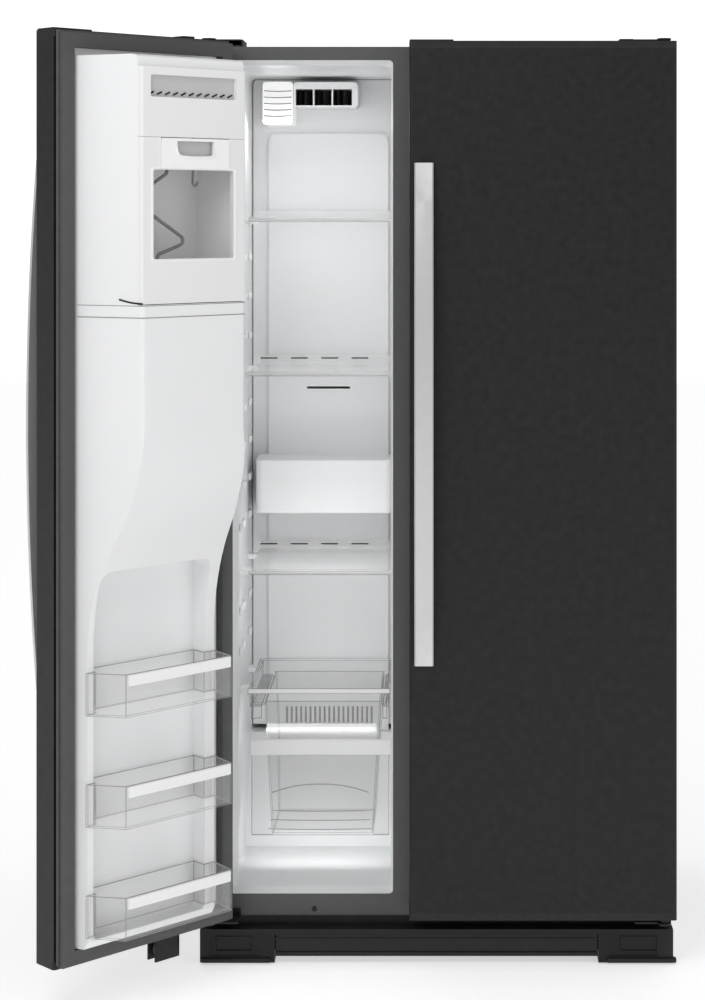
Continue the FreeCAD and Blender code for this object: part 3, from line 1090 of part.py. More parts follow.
latch_rod = rod("latch_rod", "x", (f"{LATCH_X[0]} - 4", *LATCH_PIN), "1.5",
                f"{LATCH_X[1]} - {LATCH_X[0]} + 8")
node("ice_latch", fuse("ice_latch", cut("latch_open", latch_plate, latch_mouth), latch_rod), swung=True)

# The auger: a bent wire that stirs the ice about an upright axis.
AUGER_X = f"({DISPENSER_MIDDLE} + 4)"
AUGER_Y = "((door_thickness + 8 + bulge_depth - ice_plate) / 2 + 1.5)"


def wire(name, radius):
    """A round wire through straight runs joined by tangent arcs."""
    x, y, floor = value(AUGER_X), value(AUGER_Y), value("ice_base + 4")
    turns = [(0, 6), (0, 50), (30, 78), (-48, 104), (54, 165), (38, 205), (0, 228), (0, 268)]
    points = [V(x + across, y, floor + up) for across, up in turns]
    bend = 9.0
    edges, last = [], points[0]
    for before, corner, after in zip(points, points[1:], points[2:]):
        way_in, way_out = (corner - before).normalize(), (after - corner).normalize()
        angle = way_in.getAngle(way_out)
        trim = bend * math.tan(angle / 2)
        start, end = corner - way_in * trim, corner + way_out * trim
        centre_way = (way_out - way_in).normalize()
        middle = corner + centre_way * (bend / math.cos(angle / 2) - bend)
        edges += [Part.LineSegment(last, start).toShape(), Part.Arc(start, middle, end).toShape()]
        last = end
    edges.append(Part.LineSegment(last, points[-1]).toShape())
    path = Part.Wire(edges)
    ring = Part.Wire([Part.Circle(points[0], V(0, 0, 1), radius).toShape()])
    feature = doc.addObject("Part::Feature", name)
    feature.Shape = path.makePipeShell([ring], True, False)
    return feature


auger_hub = rod("auger_hub", "z", (AUGER_X, AUGER_Y, "ice_base + 4.2"), "12", "14")
node("ice_auger", fuse("ice_auger", auger_hub, wire("auger_wire", 3.2)), swung=True)

# Dispenser: a tub through the door with a bezel, a paddle that a glass pushes, and a control panel.
tub_outer = rounded("tub_outer", box("tub_outer_block", (f"{DISPENSER_X[0]} - 2.5",
                                                         f"{DISPENSER_X[1]} + 2.5"),
                    ("-bezel_proud + 1", "recess_depth + 2.5"),
                    ("dispenser_base - 2.5", "dispenser_top + 2.5")), "8",
                    lambda edge: runs_along(edge, AXES["y"]))
bezel_plate = soft_box("bezel_plate", (f"{DISPENSER_X[0]} - bezel", f"{DISPENSER_X[1]} + bezel"),
                       ("-bezel_proud", "0"),
                       ("dispenser_base - bezel", "panel_top + 8"), "y", "12")
tub_inner = soft_box("tub_inner", DISPENSER_X, ("-bezel_proud - 1", "recess_depth"),
                     ("dispenser_base", "dispenser_top"), "y", "6")
panel_seat = box("panel_seat", (f"{DISPENSER_X[0]} - 2", f"{DISPENSER_X[1]} + 2"),
                 ("-bezel_proud - 1", "1"),
                 ("dispenser_top + 8", "panel_top"))
PADDLE_Y = "(recess_depth - 38)"
PADDLE_Z = "(dispenser_top - 10)"
PADDLE_X = (f"({DISPENSER_MIDDLE} - 26)", f"({DISPENSER_MIDDLE} + 26)")
paddle_ears = [
    box(f"paddle_ear_{n}", x, (f"{PADDLE_Y} - 4", f"{PADDLE_Y} + 4"),
        (f"{PADDLE_Z} - 4", "dispenser_top + 1"))
    for n, x in enumerate(((f"{PADDLE_X[0]} - 5", f"{PADDLE_X[0]} - 1"),
                           (f"{PADDLE_X[1]} + 1", f"{PADDLE_X[1]} + 5")))
]
paddle_pin = rod("paddle_pin", "x", (f"{PADDLE_X[0]} - 5", PADDLE_Y, PADDLE_Z), "2", "62")
tub_open = cut("tub_open", fuse("dispenser_joined", tub_outer, bezel_plate), tub_inner, panel_seat,
               chute("tub_chute", "chute_radius"))
node("dispenser_housing", fuse("dispenser_housing", tub_open, *paddle_ears, paddle_pin), swung=True)
node("dispenser_panel", box("dispenser_panel", (f"{DISPENSER_X[0]} - 1.5", f"{DISPENSER_X[1]} + 1.5"),
                            ("-bezel_proud + 0.5", "0"),
                            ("dispenser_top + 8.5", "panel_top - 0.5")), swung=True)
paddle_plate = soft_box("paddle_plate", PADDLE_X, (f"{PADDLE_Y} - 3", f"{PADDLE_Y} + 1"),
                        ("dispenser_base + 90", "dispenser_top - 14"), "y", "8")
paddle_eye = rod("paddle_eye", "x", (PADDLE_X[0], PADDLE_Y, PADDLE_Z), "5", "52")
paddle_ribs = [
    box(f"paddle_rib_{n}", (f"{DISPENSER_MIDDLE} + {offset}", f"{DISPENSER_MIDDLE} + {offset + 2}"),
        (PADDLE_Y, f"{PADDLE_Y} + 5"),
        ("dispenser_base + 110", f"{PADDLE_Z}"))
    for n, offset in enumerate((-14, 12))
]
paddle_bore = rod("paddle_bore", "x", (f"{PADDLE_X[0]} - 1", PADDLE_Y, PADDLE_Z), "2 + pin_clearance", "54")
node("dispenser_paddle", cut("dispenser_paddle", fuse("paddle_joined", paddle_plate, paddle_eye,
                                                      *paddle_ribs), paddle_bore), swung=True)
tray_block = soft_box("tray_block", (f"{DISPENSER_X[0]} + 8", f"{DISPENSER_X[1]} - 8"),
                      (4, "recess_depth - 4"),
                      ("dispenser_base", "dispenser_base + 10"), "z", "6")
tray_slots = [
    box(f"tray_slot_{n}", (f"{DISPENSER_X[0]} + 15", f"{DISPENSER_X[1]} - 15"), (12 + 8 * n, 16 + 8 * n),
        ("dispenser_base + 3", "dispenser_base + 11")) for n in range(9)
]
node("drip_tray", cut("drip_tray", tray_block, *tray_slots), swung=True)


# Bins: each is a tray in front of the dykes with a box that drops between them.
BIN_X = (f"({ROOT[0]} + 3)", f"({ROOT[1]} - 10)")
BIN_FACE = "(dyke_depth + bin_depth)"


def door_bin(name, base):
    def tray(part, grow, z):
        """The tray's plan, which narrows away from the door on its free side."""
        corners = [(f"{BIN_X[0]} + {grow}", f"dyke_depth + {grow}"),
                   (f"{BIN_X[1]} - {grow}", f"dyke_depth + {grow}"),
                   (f"{BIN_X[1]} - bin_taper - {grow}", f"{BIN_FACE} - {grow}"),
                   (f"{BIN_X[0]} + 9 + {grow}", f"{BIN_FACE} - {grow}")]
        return prism(f"{name}_{part}", "xy", corners, *z)

    room_z = (f"{base} + bin_wall", f"{base} + bin_height + 1")
    outer = tray("outer", "0", (base, f"{base} + bin_height"))
    inner = tray("inner", "bin_wall", room_z)
    tongue = box(f"{name}_tongue", (f"{PAN_X[0]} + fit_gap", f"{PAN_X[1]} - fit_gap"),
                 ("pan_depth + 3", "dyke_depth + bin_wall"),
                 (base, f"{base} + bin_height"))
    tongue_room = box(f"{name}_tongue_room", (f"{PAN_X[0]} + fit_gap + bin_wall",
                                              f"{PAN_X[1]} - fit_gap - bin_wall"),
                      ("pan_depth + 3 + bin_wall", "dyke_depth + 2 * bin_wall"), room_z)
    return cut(name, fuse(name + "_joined", outer, tongue), inner, tongue_room)


FREEZER_BINS = {"door_bin_upper": "floor_level + 423", "door_bin_middle": "floor_level + 226",
                "door_bin_lower": "floor_level + 29"}
for label, base in FREEZER_BINS.items():
    node(label, door_bin(label, base), swung=True)
node("bin_trim_bars", group("bin_trim_bars", *[
    soft_box(f"trim_bar_{n}", (f"{BIN_X[0]} + 14", f"{BIN_X[1]} - bin_taper - 4"),
             (BIN_FACE, f"{BIN_FACE} + 5"),
             (f"{base} + bin_height - bin_bar", f"{base} + bin_height"), "x", "2")
    for n, base in enumerate(FREEZER_BINS.values())
]), swung=True)

# Fridge door.
node("fridge_door_panel", door_skin("fridge_door_panel", DOOR_SPANS["fridge"]))
node("fridge_door_caps", door_caps("fridge_door_caps", DOOR_SPANS["fridge"], PIN_RIGHT, -1))
node("fridge_door_gasket", door_gasket("fridge_door_gasket", DOOR_SPANS["fridge"], 1))
node("fridge_handle", door_handle("fridge_handle", f"{SPLIT_RIGHT} + handle_edge + handle_width / 2", 40))
FRIDGE_ROOT = (f"({SPLIT_RIGHT} + liner_margin + 2)", f"({DOOR_RIGHT} - hinge_margin)")
frame_block = soft_box("fridge_dykes", FRIDGE_ROOT, ("door_thickness - 1", "dyke_depth"),
                       (f"{LINER_LOW} + 3", LINER_HIGH), "y", "14")
frame_pan = soft_box("fridge_pan", (f"{FRIDGE_ROOT[0]} + dyke_width", f"{FRIDGE_ROOT[1]} - dyke_width"),
                     ("pan_depth", "dyke_depth + 1"),
                     (f"{LINER_LOW} + 22", f"{LINER_HIGH} - 22"), "y", "24")
node("fridge_door_liner", fuse("fridge_door_liner", door_core("fridge_core", DOOR_SPANS["fridge"],
        PIN_RIGHT),
                               cut("fridge_dykes_open", frame_block, frame_pan)))
fridge_bins = []
for n, base in enumerate((190, 560, 900, 1240, 1500)):
    top = f"{base} + bin_height + 20"
    outer = box(f"fridge_bin_outer_{n}", (f"{FRIDGE_ROOT[0]} + 34", f"{FRIDGE_ROOT[1]} - 6"),
                ("dyke_depth", BIN_FACE), (base, top))
    tongue = box(f"fridge_bin_tongue_{n}", (f"{FRIDGE_ROOT[0]} + 34",
                                            f"{FRIDGE_ROOT[1]} - dyke_width - fit_gap"),
                 ("pan_depth + 3", "dyke_depth + 1"), (base, top))
    room = box(f"fridge_bin_room_{n}", (f"{FRIDGE_ROOT[0]} + 34 + bin_wall",
                                        f"{FRIDGE_ROOT[1]} - dyke_width - fit_gap - bin_wall"),
               ("pan_depth + 3 + bin_wall", f"{BIN_FACE} - bin_wall"), (f"{base} + bin_wall", f"{top} + 1"))
    fridge_bins.append(cut(f"fridge_bin_{n}", fuse(f"fridge_bin_joined_{n}", outer, tongue), room))
node("fridge_door_bins", group("fridge_door_bins", *fridge_bins))

# ---------------------------------------------------------------- check and write
doc.recompute()
for item in doc.Objects:
    if "Invalid" in item.State or "Error" in item.State:
        raise RuntimeError(f"{item.Name} did not build: {item.State}")
os.makedirs("parts", exist_ok=True)
for piece in nodes:
    if piece.Shape.isNull() or not piece.Shape.isValid() or not piece.Shape.Solids:
        raise RuntimeError(f"{piece.Label} has no valid solid")
    piece.Shape.exportStep(f"parts/{piece.Label}.step")
    print(piece.Label, len(piece.Shape.Solids), "solids,", round(piece.Shape.Volume / 1000), "cm3")
print(len(nodes), "nodes")
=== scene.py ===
# %% [markdown]
# # A side by side refrigerator
# A tall steel cabinet with a freezer on the left and a fridge on the right. The freezer door
# stands open, so its white inside, its ice bin and its bins show. The frame gives every solid part
# in its place. This lesson paints those parts, and adds the small things that solids leave out:
# gasket folds, vent slats, screws, pipes, keys and lights.

# %% Load the frame
import json
import math

import bmesh
import bpy
from mathutils import Matrix, Vector


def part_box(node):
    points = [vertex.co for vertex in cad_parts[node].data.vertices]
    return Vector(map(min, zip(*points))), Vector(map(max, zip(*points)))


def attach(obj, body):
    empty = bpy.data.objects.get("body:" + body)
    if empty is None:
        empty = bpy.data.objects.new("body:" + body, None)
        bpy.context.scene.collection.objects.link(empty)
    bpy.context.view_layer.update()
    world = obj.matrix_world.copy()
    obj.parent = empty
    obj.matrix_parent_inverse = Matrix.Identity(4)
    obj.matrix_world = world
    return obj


MM = 0.001
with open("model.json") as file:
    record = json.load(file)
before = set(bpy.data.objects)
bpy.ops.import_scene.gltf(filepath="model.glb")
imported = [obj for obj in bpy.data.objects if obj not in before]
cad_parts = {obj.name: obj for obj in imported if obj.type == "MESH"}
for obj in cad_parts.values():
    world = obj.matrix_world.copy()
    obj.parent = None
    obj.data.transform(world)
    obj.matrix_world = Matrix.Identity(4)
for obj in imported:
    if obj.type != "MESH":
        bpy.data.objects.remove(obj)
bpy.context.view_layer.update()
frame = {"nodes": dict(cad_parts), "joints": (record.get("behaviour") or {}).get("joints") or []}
parts = frame["nodes"]

# %% [markdown]
# The freezer door is drawn open. The turn that opened it is found from its hinge joint: `SWUNG`
# opens the door, and `UNSWUNG` shuts it. A point on the door is then given as it would be with the
# door closed, which is far easier to think about.

# %% Places on the open door
hinge = next(joint for joint in frame["joints"] if joint["name"] == "freezer_door_hinge")
PIN = Vector((hinge["pos_m"][0], hinge["pos_m"][1], 0))
SWING = math.radians(-hinge["range_deg"][0])
SWUNG = Matrix.Translation(PIN) @ Matrix.Rotation(-SWING, 4, "Z") @ Matrix.Translation(-PIN)
UNSWUNG = SWUNG.inverted()


def closed_box(node):
    """The lowest and highest corner of a part of the open door, as if the door were closed."""
    points = [UNSWUNG @ vertex.co for vertex in parts[node].data.vertices]
    low = Vector(min(point[n] for point in points) for n in range(3))
    high = Vector(max(point[n] for point in points) for n in range(3))
    return low, high


def closed_mm(node):
    """The same two corners, in millimetres."""
    return [corner / MM for corner in closed_box(node)]


def box_mm(node):
    """The lowest and highest corner of any part as it stands, in millimetres."""
    return [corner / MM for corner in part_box(node)]


print("the door stands open by", round(math.degrees(SWING), 1), "degrees")

# %% [markdown]
# ## Finishes
# Real surfaces are never one flat colour. Four small patterns cover this object: brushed metal,
# the pebbled grain of moulded plastic, a slow change of tone over a large panel, and lighter edges,
# partly wear and partly a painted highlight. Each is a node group, built once, with its sizes as
# named inputs.

# %% A tool for node groups
class Tree:
    """A node tree with short calls to add nodes and join them."""

    def __init__(self, tree):
        self.tree = tree

    def add(self, kind, **settings):
        node = self.tree.nodes.new(kind)
        for name, setting in settings.items():
            if hasattr(node, name):
                setattr(node, name, setting)
            else:
                node.inputs[name.replace("_", " ")].default_value = setting
        return node

    def join(self, start, end):
        self.tree.links.new(start, end)
        return end

    def math(self, operation, first, second):
        node = self.add("ShaderNodeMath", operation=operation)
        for socket, term in zip(node.inputs, (first, second)):
            if isinstance(term, (int, float)):
                socket.default_value = term
            else:
                self.join(term, socket)
        return node.outputs[0]


def pattern(name, inputs, outputs):
    """An empty shader node group with named inputs (value or colour) and outputs."""
    group = bpy.data.node_groups.new(name, "ShaderNodeTree")
    for word, start in inputs.items():
        kind = "NodeSocketColor" if isinstance(start, tuple) else "NodeSocketFloat"
        socket = group.interface.new_socket(word, in_out="INPUT", socket_type=kind)
        socket.default_value = start
    for word, kind in outputs.items():
        group.interface.new_socket(word, in_out="OUTPUT", socket_type="NodeSocket" + kind)
    tree = Tree(group)
    return tree, tree.add("NodeGroupInput"), tree.add("NodeGroupOutput")


def roughen(tree, given, result, swells, heights, distance):
    """Let one noise change the roughness, and one height make a shallow bump."""
    swell = tree.math("MULTIPLY", swells, given.outputs["Spread"])
    tree.join(tree.math("ADD", swell, given.outputs["Rough"]), result.inputs["Roughness"])
    bump = tree.add("ShaderNodeBump", Distance=distance)
    tree.join(given.outputs["Depth"], bump.inputs["Strength"])
    tree.join(heights, bump.inputs["Height"])
    tree.join(bump.outputs[0], result.inputs["Normal"])


# The mix node keeps its colour sockets at these places.
MIX_SHARE, MIX_FIRST, MIX_SECOND, MIX_COLOUR = 0, 6, 7, 2


def mixed(tree, share, first, second):
    """One colour turning into another as the share goes from 0 to 1."""
    blend = tree.add("ShaderNodeMix", data_type="RGBA")
    for place, source in ((MIX_SHARE, share), (MIX_FIRST, first), (MIX_SECOND, second)):
        tree.join(source, blend.inputs[place])
    return blend.outputs[MIX_COLOUR]


# %% [markdown]
# Brushed metal is a noise pulled out into long streaks. The streaks change the roughness a little
# and give a shallow bump. On the real door the grain runs up and down, along the coil of steel.

# %% Brushed metal
tree, given, result = pattern("Brushed grain", {"Across": 1400.0, "Along": 18.0, "Depth": 0.1,
                                                "Rough": 0.3, "Spread": 0.1},
                              {"Roughness": "Float", "Normal": "Vector"})
place = tree.add("ShaderNodeTexCoord")
stretch = tree.add("ShaderNodeCombineXYZ")
tree.join(given.outputs["Across"], stretch.inputs["X"])
tree.join(given.outputs["Across"], stretch.inputs["Y"])
tree.join(given.outputs["Along"], stretch.inputs["Z"])
pulled = tree.add("ShaderNodeVectorMath", operation="MULTIPLY")
tree.join(place.outputs["Object"], pulled.inputs[0])
tree.join(stretch.outputs[0], pulled.inputs[1])
streaks = tree.add("ShaderNodeTexNoise", Scale=1.0, Detail=2.0)
tree.join(pulled.outputs[0], streaks.inputs["Vector"])
roughen(tree, given, result, streaks.outputs[0], streaks.outputs[0], 0.02 * MM)
BRUSHED = tree.tree
print("made", BRUSHED.name)

# %% [markdown]
# Moulded plastic copies a fine pebbled texture from its steel mould. A cell pattern softened with
# noise gives the pebbles. The same group, with a larger size and almost no depth, gives the orange
# peel of enamel.

# %% Moulded grain
BLOTCH_SHARE = 0.02
tree, given, result = pattern("Moulded grain", {"Size": 900.0, "Depth": 0.3, "Rough": 0.4, "Spread": 0.1},
                              {"Roughness": "Float", "Normal": "Vector"})
place = tree.add("ShaderNodeTexCoord")
pebbles = tree.add("ShaderNodeTexVoronoi", feature="SMOOTH_F1", Smoothness=0.6)
blotches = tree.add("ShaderNodeTexNoise", Detail=3.0)
for texture in (pebbles, blotches):
    tree.join(place.outputs["Object"], texture.inputs["Vector"])
tree.join(given.outputs["Size"], pebbles.inputs["Scale"])
tree.join(tree.math("MULTIPLY", given.outputs["Size"], BLOTCH_SHARE), blotches.inputs["Scale"])
roughen(tree, given, result, blotches.outputs[0], pebbles.outputs[0], 0.1 * MM)
MOULDED = tree.tree
print("made", MOULDED.name)

# %% [markdown]
# A large panel is a little lighter in one place and darker in another, from handling and from the
# way it was sprayed or drawn. A slow noise mixes two tones.

# %% Slow change of tone
tree, given, result = pattern("Slow tone", {"Tone": (0.5, 0.5, 0.5, 1.0), "Other": (0.4, 0.4, 0.4, 1.0),
                                            "Size": 3.0}, {"Color": "Color"})
place = tree.add("ShaderNodeTexCoord")
cloud = tree.add("ShaderNodeTexNoise", Detail=4.0, Roughness=0.6)
tree.join(place.outputs["Object"], cloud.inputs["Vector"])
tree.join(given.outputs["Size"], cloud.inputs["Scale"])
cloudy = mixed(tree, cloud.outputs[0], given.outputs["Tone"], given.outputs["Other"])
tree.join(cloudy, result.inputs["Color"])
TONED = tree.tree
print("made", TONED.name)

# %% [markdown]
# Edges of steel and plastic are painted lighter: partly wear, where they are rubbed smooth, and
# partly a painted highlight, for the light that rounded edges catch. The pointiness of the surface
# finds them, broken up with noise so that the line isn't even.

# %% Wear and painted highlight along edges
tree, given, result = pattern("Edge wear and highlight", {"Color": (0.1, 0.1, 0.1, 1.0), "Worn and lit": (0.3, 0.3, 0.3, 1.0),
                                            "Amount": 0.5}, {"Color": "Color"})
shape = tree.add("ShaderNodeNewGeometry")
place = tree.add("ShaderNodeTexCoord")
breaks = tree.add("ShaderNodeTexNoise", Scale=60.0, Detail=4.0)
tree.join(place.outputs["Object"], breaks.inputs["Vector"])
ridge = tree.add("ShaderNodeMapRange", From_Min=0.52, From_Max=0.62)
tree.join(shape.outputs["Pointiness"], ridge.inputs["Value"])
patchy = tree.math("MULTIPLY", ridge.outputs[0], breaks.outputs[0])
share = tree.math("MULTIPLY", patchy, given.outputs["Amount"])
tree.join(mixed(tree, share, given.outputs["Color"], given.outputs["Worn and lit"]), result.inputs["Color"])
EDGE_WEAR_AND_HIGHLIGHT = tree.tree
print("made", EDGE_WEAR_AND_HIGHLIGHT.name)

# %% [markdown]
# One function puts the patterns together. Numbers that are the same all over, such as the metallic
# amount or the coat, are set on the shader's own sockets.


# %% A finish from its patterns
SCREEN_GAMMA = 2.2


def grey(tone, tint=(1, 1, 1)):
    """A linear colour from a screen grey of 0 to 255."""
    level = (tone / 255) ** SCREEN_GAMMA
    return (*(level * part for part in tint), 1.0)


def finish_of(name, tone, other, grain, lit_worn_edge=None, tone_size=3.0, **sockets):
    """A material: two tones, an optional lighter edge (wear and painted highlight), and a grain group with
    its values.
    """
    material = bpy.data.materials.new(name)
    material.use_nodes = True
    tree = Tree(material.node_tree)
    shader = tree.tree.nodes["Principled BSDF"]
    toned = tree.add("ShaderNodeGroup", node_tree=TONED)
    toned.inputs["Tone"].default_value = tone
    toned.inputs["Other"].default_value = other
    toned.inputs["Size"].default_value = tone_size
    colour = toned.outputs["Color"]
    # A lighter colour on edges: partly wear, partly a painted highlight.
    if lit_worn_edge:
        edge = tree.add("ShaderNodeGroup", node_tree=EDGE_WEAR_AND_HIGHLIGHT)
        edge.inputs["Worn and lit"].default_value = lit_worn_edge[0]
        edge.inputs["Amount"].default_value = lit_worn_edge[1]
        tree.join(colour, edge.inputs["Color"])
        colour = edge.outputs["Color"]
    tree.join(colour, shader.inputs["Base Color"])
    kind, numbers = grain
    texture = tree.add("ShaderNodeGroup", node_tree=kind)
    for word, number in numbers.items():
        texture.inputs[word].default_value = number
    tree.join(texture.outputs["Roughness"], shader.inputs["Roughness"])
    tree.join(texture.outputs["Normal"], shader.inputs["Normal"])
    for word, number in sockets.items():
        shader.inputs[word.replace("_", " ")].default_value = number
    return material


# %% [markdown]
# The outside is dark painted steel with a soft sheen, and a grey painted frame round the openings.
# The door skins are smooth enamel; a faint fine texture keeps the reflection soft.

# %% Painted steel
FINE = {"Size": 900.0, "Depth": 0.03, "Rough": 0.36, "Spread": 0.02}
# The (colour, amount) pair after the grain is a lighter edge colour: partly wear, partly a painted
# highlight.
door_enamel = finish_of("Door enamel", grey(27), grey(25), (MOULDED, FINE), (grey(80), 0.25), tone_size=1.5,
                        Specular_IOR_Level=0.22)
case_enamel = finish_of("Case enamel", grey(27), grey(24),
                        (MOULDED, {**FINE, "Rough": 0.42, "Depth": 0.12}), (grey(80), 0.25),
                        Specular_IOR_Level=0.3)
frame_grey = finish_of("Frame grey", grey(86), grey(80), (MOULDED, {**FINE, "Rough": 0.38}),
                       (grey(120), 0.25), Specular_IOR_Level=0.3)
galvanised = finish_of("Galvanised steel", grey(170), grey(140), (MOULDED, {"Size": 60.0, "Depth": 0.05,
                       "Rough": 0.35, "Spread": 0.25}), tone_size=45.0, Metallic=0.9)
screw_steel = finish_of("Screw steel", grey(190), grey(170), (BRUSHED, {"Rough": 0.25}), Metallic=1.0)
print("painted steel is ready")

# %% [markdown]
# The handles are satin stainless steel, brushed along their length.

# %% Satin steel
SATIN = {"Across": 2200.0, "Along": 30.0, "Depth": 0.18, "Rough": 0.3, "Spread": 0.14}
# The handle's lighter edge colour is partly wear, partly a painted highlight.
handle_steel = finish_of("Satin handle steel", grey(205), grey(192), (BRUSHED, SATIN),
                         (grey(240), 0.5), Metallic=0.5, Anisotropic=0.4)
fin_aluminium = finish_of("Fin aluminium", grey(200), grey(180), (BRUSHED, {"Rough": 0.35}), Metallic=1.0)
wire_steel = finish_of("Stirrer wire", grey(120), grey(100), (BRUSHED, {"Rough": 0.3}), Metallic=0.9)
print("bright metal is ready")

# %% [markdown]
# Inside, everything is white or clear. The liner is drawn from a polystyrene sheet with a satin
# face. Shelves and trims are a slightly brighter white, and the bins are clear moulded plastic.

# %% Liner and trims
liner_white = finish_of("Liner white", grey(243, (0.985, 0.995, 1)), grey(237, (0.98, 0.99, 1)),
                        (MOULDED, {"Size": 500.0, "Depth": 0.1, "Rough": 0.34, "Spread": 0.08}),
                        Subsurface_Weight=0.05, Subsurface_Scale=0.004)
trim_white = finish_of("Trim white", grey(248), grey(247), (MOULDED, {"Size": 800.0, "Depth": 0.06,
                       "Rough": 0.3, "Spread": 0.02}), Subsurface_Weight=0.08, Subsurface_Scale=0.003)
plate_white = finish_of("Plate white", grey(236), grey(235), (MOULDED, {"Size": 800.0, "Depth": 0.06,
                        "Rough": 0.36, "Spread": 0.02}))
cup_grey = finish_of("Ice mould grey", grey(160), grey(150), (MOULDED, {"Rough": 0.3}), Metallic=0.8)
print("white plastic is ready")

# %% [markdown]
# Clear plastic is shown as a thin, bright skin: mostly see-through, with a gloss that picks out its
# edges. A transmission setting would darken with every wall behind the last one, so the clearness
# is alpha.


# %% Clear plastic and glass
ACRYLIC_IOR = 1.49


def clear_of(name, tone, alpha, rough):
    """A see-through finish; the lower its alpha, the less of it is seen."""
    return finish_of(name, grey(tone), grey(tone - 4), (MOULDED, {"Size": 300.0, "Depth": 0.02,
                     "Rough": rough, "Spread": 0.04}), IOR=ACRYLIC_IOR, Alpha=alpha)


clear_plastic = clear_of("Clear plastic", 254, 0.08, 0.1)
window_clear = clear_of("Clear window", 250, 0.05, 0.04)
frosted_plastic = clear_of("Frosted plastic", 254, 0.08, 0.14)
shelf_glass = clear_of("Shelf glass", 246, 0.34, 0.08)
rim_clear = clear_of("Thick clear edge", 178, 0.7, 0.12)
strip_clear = clear_of("Clear strip", 240, 0.8, 0.1)
print("clear plastic is ready")

# %% [markdown]
# Black plastics: a pebbled moulding for caps, covers and the grille, a gloss panel for the keys,
# and matt rubber for the gaskets.

# %% Dark plastic and rubber
PEBBLE = {"Size": 1100.0, "Depth": 0.4, "Rough": 0.42, "Spread": 0.14}
# The lighter edge colours here are partly wear, partly a painted highlight.
black_plastic = finish_of("Black moulding", grey(30), grey(26), (MOULDED, PEBBLE), (grey(80), 0.3),
                          Specular_IOR_Level=0.3)
gasket_rubber = finish_of("Gasket rubber", grey(78), grey(70), (MOULDED, {**PEBBLE, "Rough": 0.6}),
                          (grey(120), 0.3))
panel_gloss = finish_of("Key panel gloss", grey(16), grey(12), (MOULDED, {**FINE, "Rough": 0.08}),
                        Coat_Weight=0.6, Coat_Roughness=0.05)
roller_nylon = finish_of("Roller nylon", grey(90), grey(80), (MOULDED, PEBBLE))
# Near-black finish put in hollows, slots and gaps: painted shade.
painted_shade_black = finish_of("Shadowed hollow", grey(10), grey(8), (MOULDED, {**PEBBLE, "Rough": 0.8}))
ORANGE_PEEL = {"Size": 400.0, "Depth": 0.2, "Rough": 0.3, "Spread": 0.1}
compressor_black = finish_of("Compressor enamel", grey(34), grey(28), (MOULDED, ORANGE_PEEL),
                             (grey(120), 0.5), Coat_Weight=0.3)
copper = finish_of("Copper pipe", grey(190, (1, 0.5, 0.32)), grey(160, (1, 0.48, 0.3)),
                   (BRUSHED, {"Rough": 0.28}), Metallic=1.0)
foam_tan = finish_of("Foam", grey(215, (1, 0.93, 0.62)), grey(200, (1, 0.9, 0.6)), (MOULDED, {"Size": 250.0,
                     "Depth": 0.8, "Rough": 0.8}))
icon_white = finish_of("Key marks", grey(210), grey(200), (MOULDED, {"Rough": 0.5, "Depth": 0.0}))
print("dark plastic is ready")

# %% [markdown]
# The lamp is lit, as it is whenever the door is open. Its cover glows, and real lights inside the
# compartment do the lighting.

# %% Glowing lamp cover
lamp_glow = finish_of("Lit lamp cover", grey(252), grey(250), (MOULDED, {"Size": 300.0, "Depth": 0.05,
                      "Rough": 0.2}), Emission_Color=(1, 0.98, 0.95, 1), Emission_Strength=0.16)

# %% Paint the parts that the frame brought
FINISHES = {
    door_enamel: ("freezer_door_panel", "fridge_door_panel"),
    case_enamel: ("cabinet_shell", "hinge_brackets", "frame_screws"),
    frame_grey: ("front_frame",),
    galvanised: ("rear_panel", "base_frame", "machine_cover"),
    black_plastic: ("levelling_foot_left", "levelling_foot_right", "toe_grille", "hinge_covers",
                    "freezer_door_caps", "fridge_door_caps", "dispenser_housing", "dispenser_paddle",
                    "drip_tray", "condenser_fan", "drain_pan"),
    roller_nylon: ("rear_rollers",),
    liner_white: ("freezer_liner", "fridge_liner", "evaporator_cover", "air_duct", "fan_shroud",
                  "freezer_door_liner", "fridge_door_liner"),
    trim_white: ("drawer_handle_bar", "control_tower", "evaporator_fan", "ice_latch", "bin_trim_bars"),
    plate_white: ("ice_maker_cover", "ice_bin"),
    lamp_glow: ("freezer_lamp_cover",),
    frosted_plastic: ("freezer_drawer",),
    clear_plastic: ("crisper_upper", "crisper_lower", "drawer_cover_shelf", "door_bin_upper",
                    "door_bin_middle", "door_bin_lower", "fridge_door_bins"),
    shelf_glass: ("fridge_shelves", "freezer_shelf_top", "freezer_shelf_middle", "freezer_shelf_lower"),
    window_clear: ("ice_bin_window",),
    gasket_rubber: ("freezer_door_gasket", "fridge_door_gasket"),
    handle_steel: ("freezer_handle", "fridge_handle"),
    wire_steel: ("ice_auger",),
    fin_aluminium: ("evaporator_coil",),
    cup_grey: ("ice_maker",),
    panel_gloss: ("dispenser_panel",),
    compressor_black: ("compressor", "condenser_coil"),
    foam_tan: ("insulation_foam",),
}


def paint(piece, material):
    """Give every face of a piece one finish."""
    piece.data.materials.clear()
    piece.data.materials.append(material)


for material, names in FINISHES.items():
    for name in names:
        paint(parts[name], material)
print("painted", sum(len(names) for names in FINISHES.values()), "of", len(parts), "parts")

# %% [markdown]
# ## Making small pieces
# Every added piece is a plain mesh that rides on a body of the frame. `finish_piece` does the last
# steps the same way each time: it swings the mesh with the open door if it belongs there, paints
# it, and ties it to its body.


# %% Tie a mesh to a body
SHARP_FROM = math.radians(38)


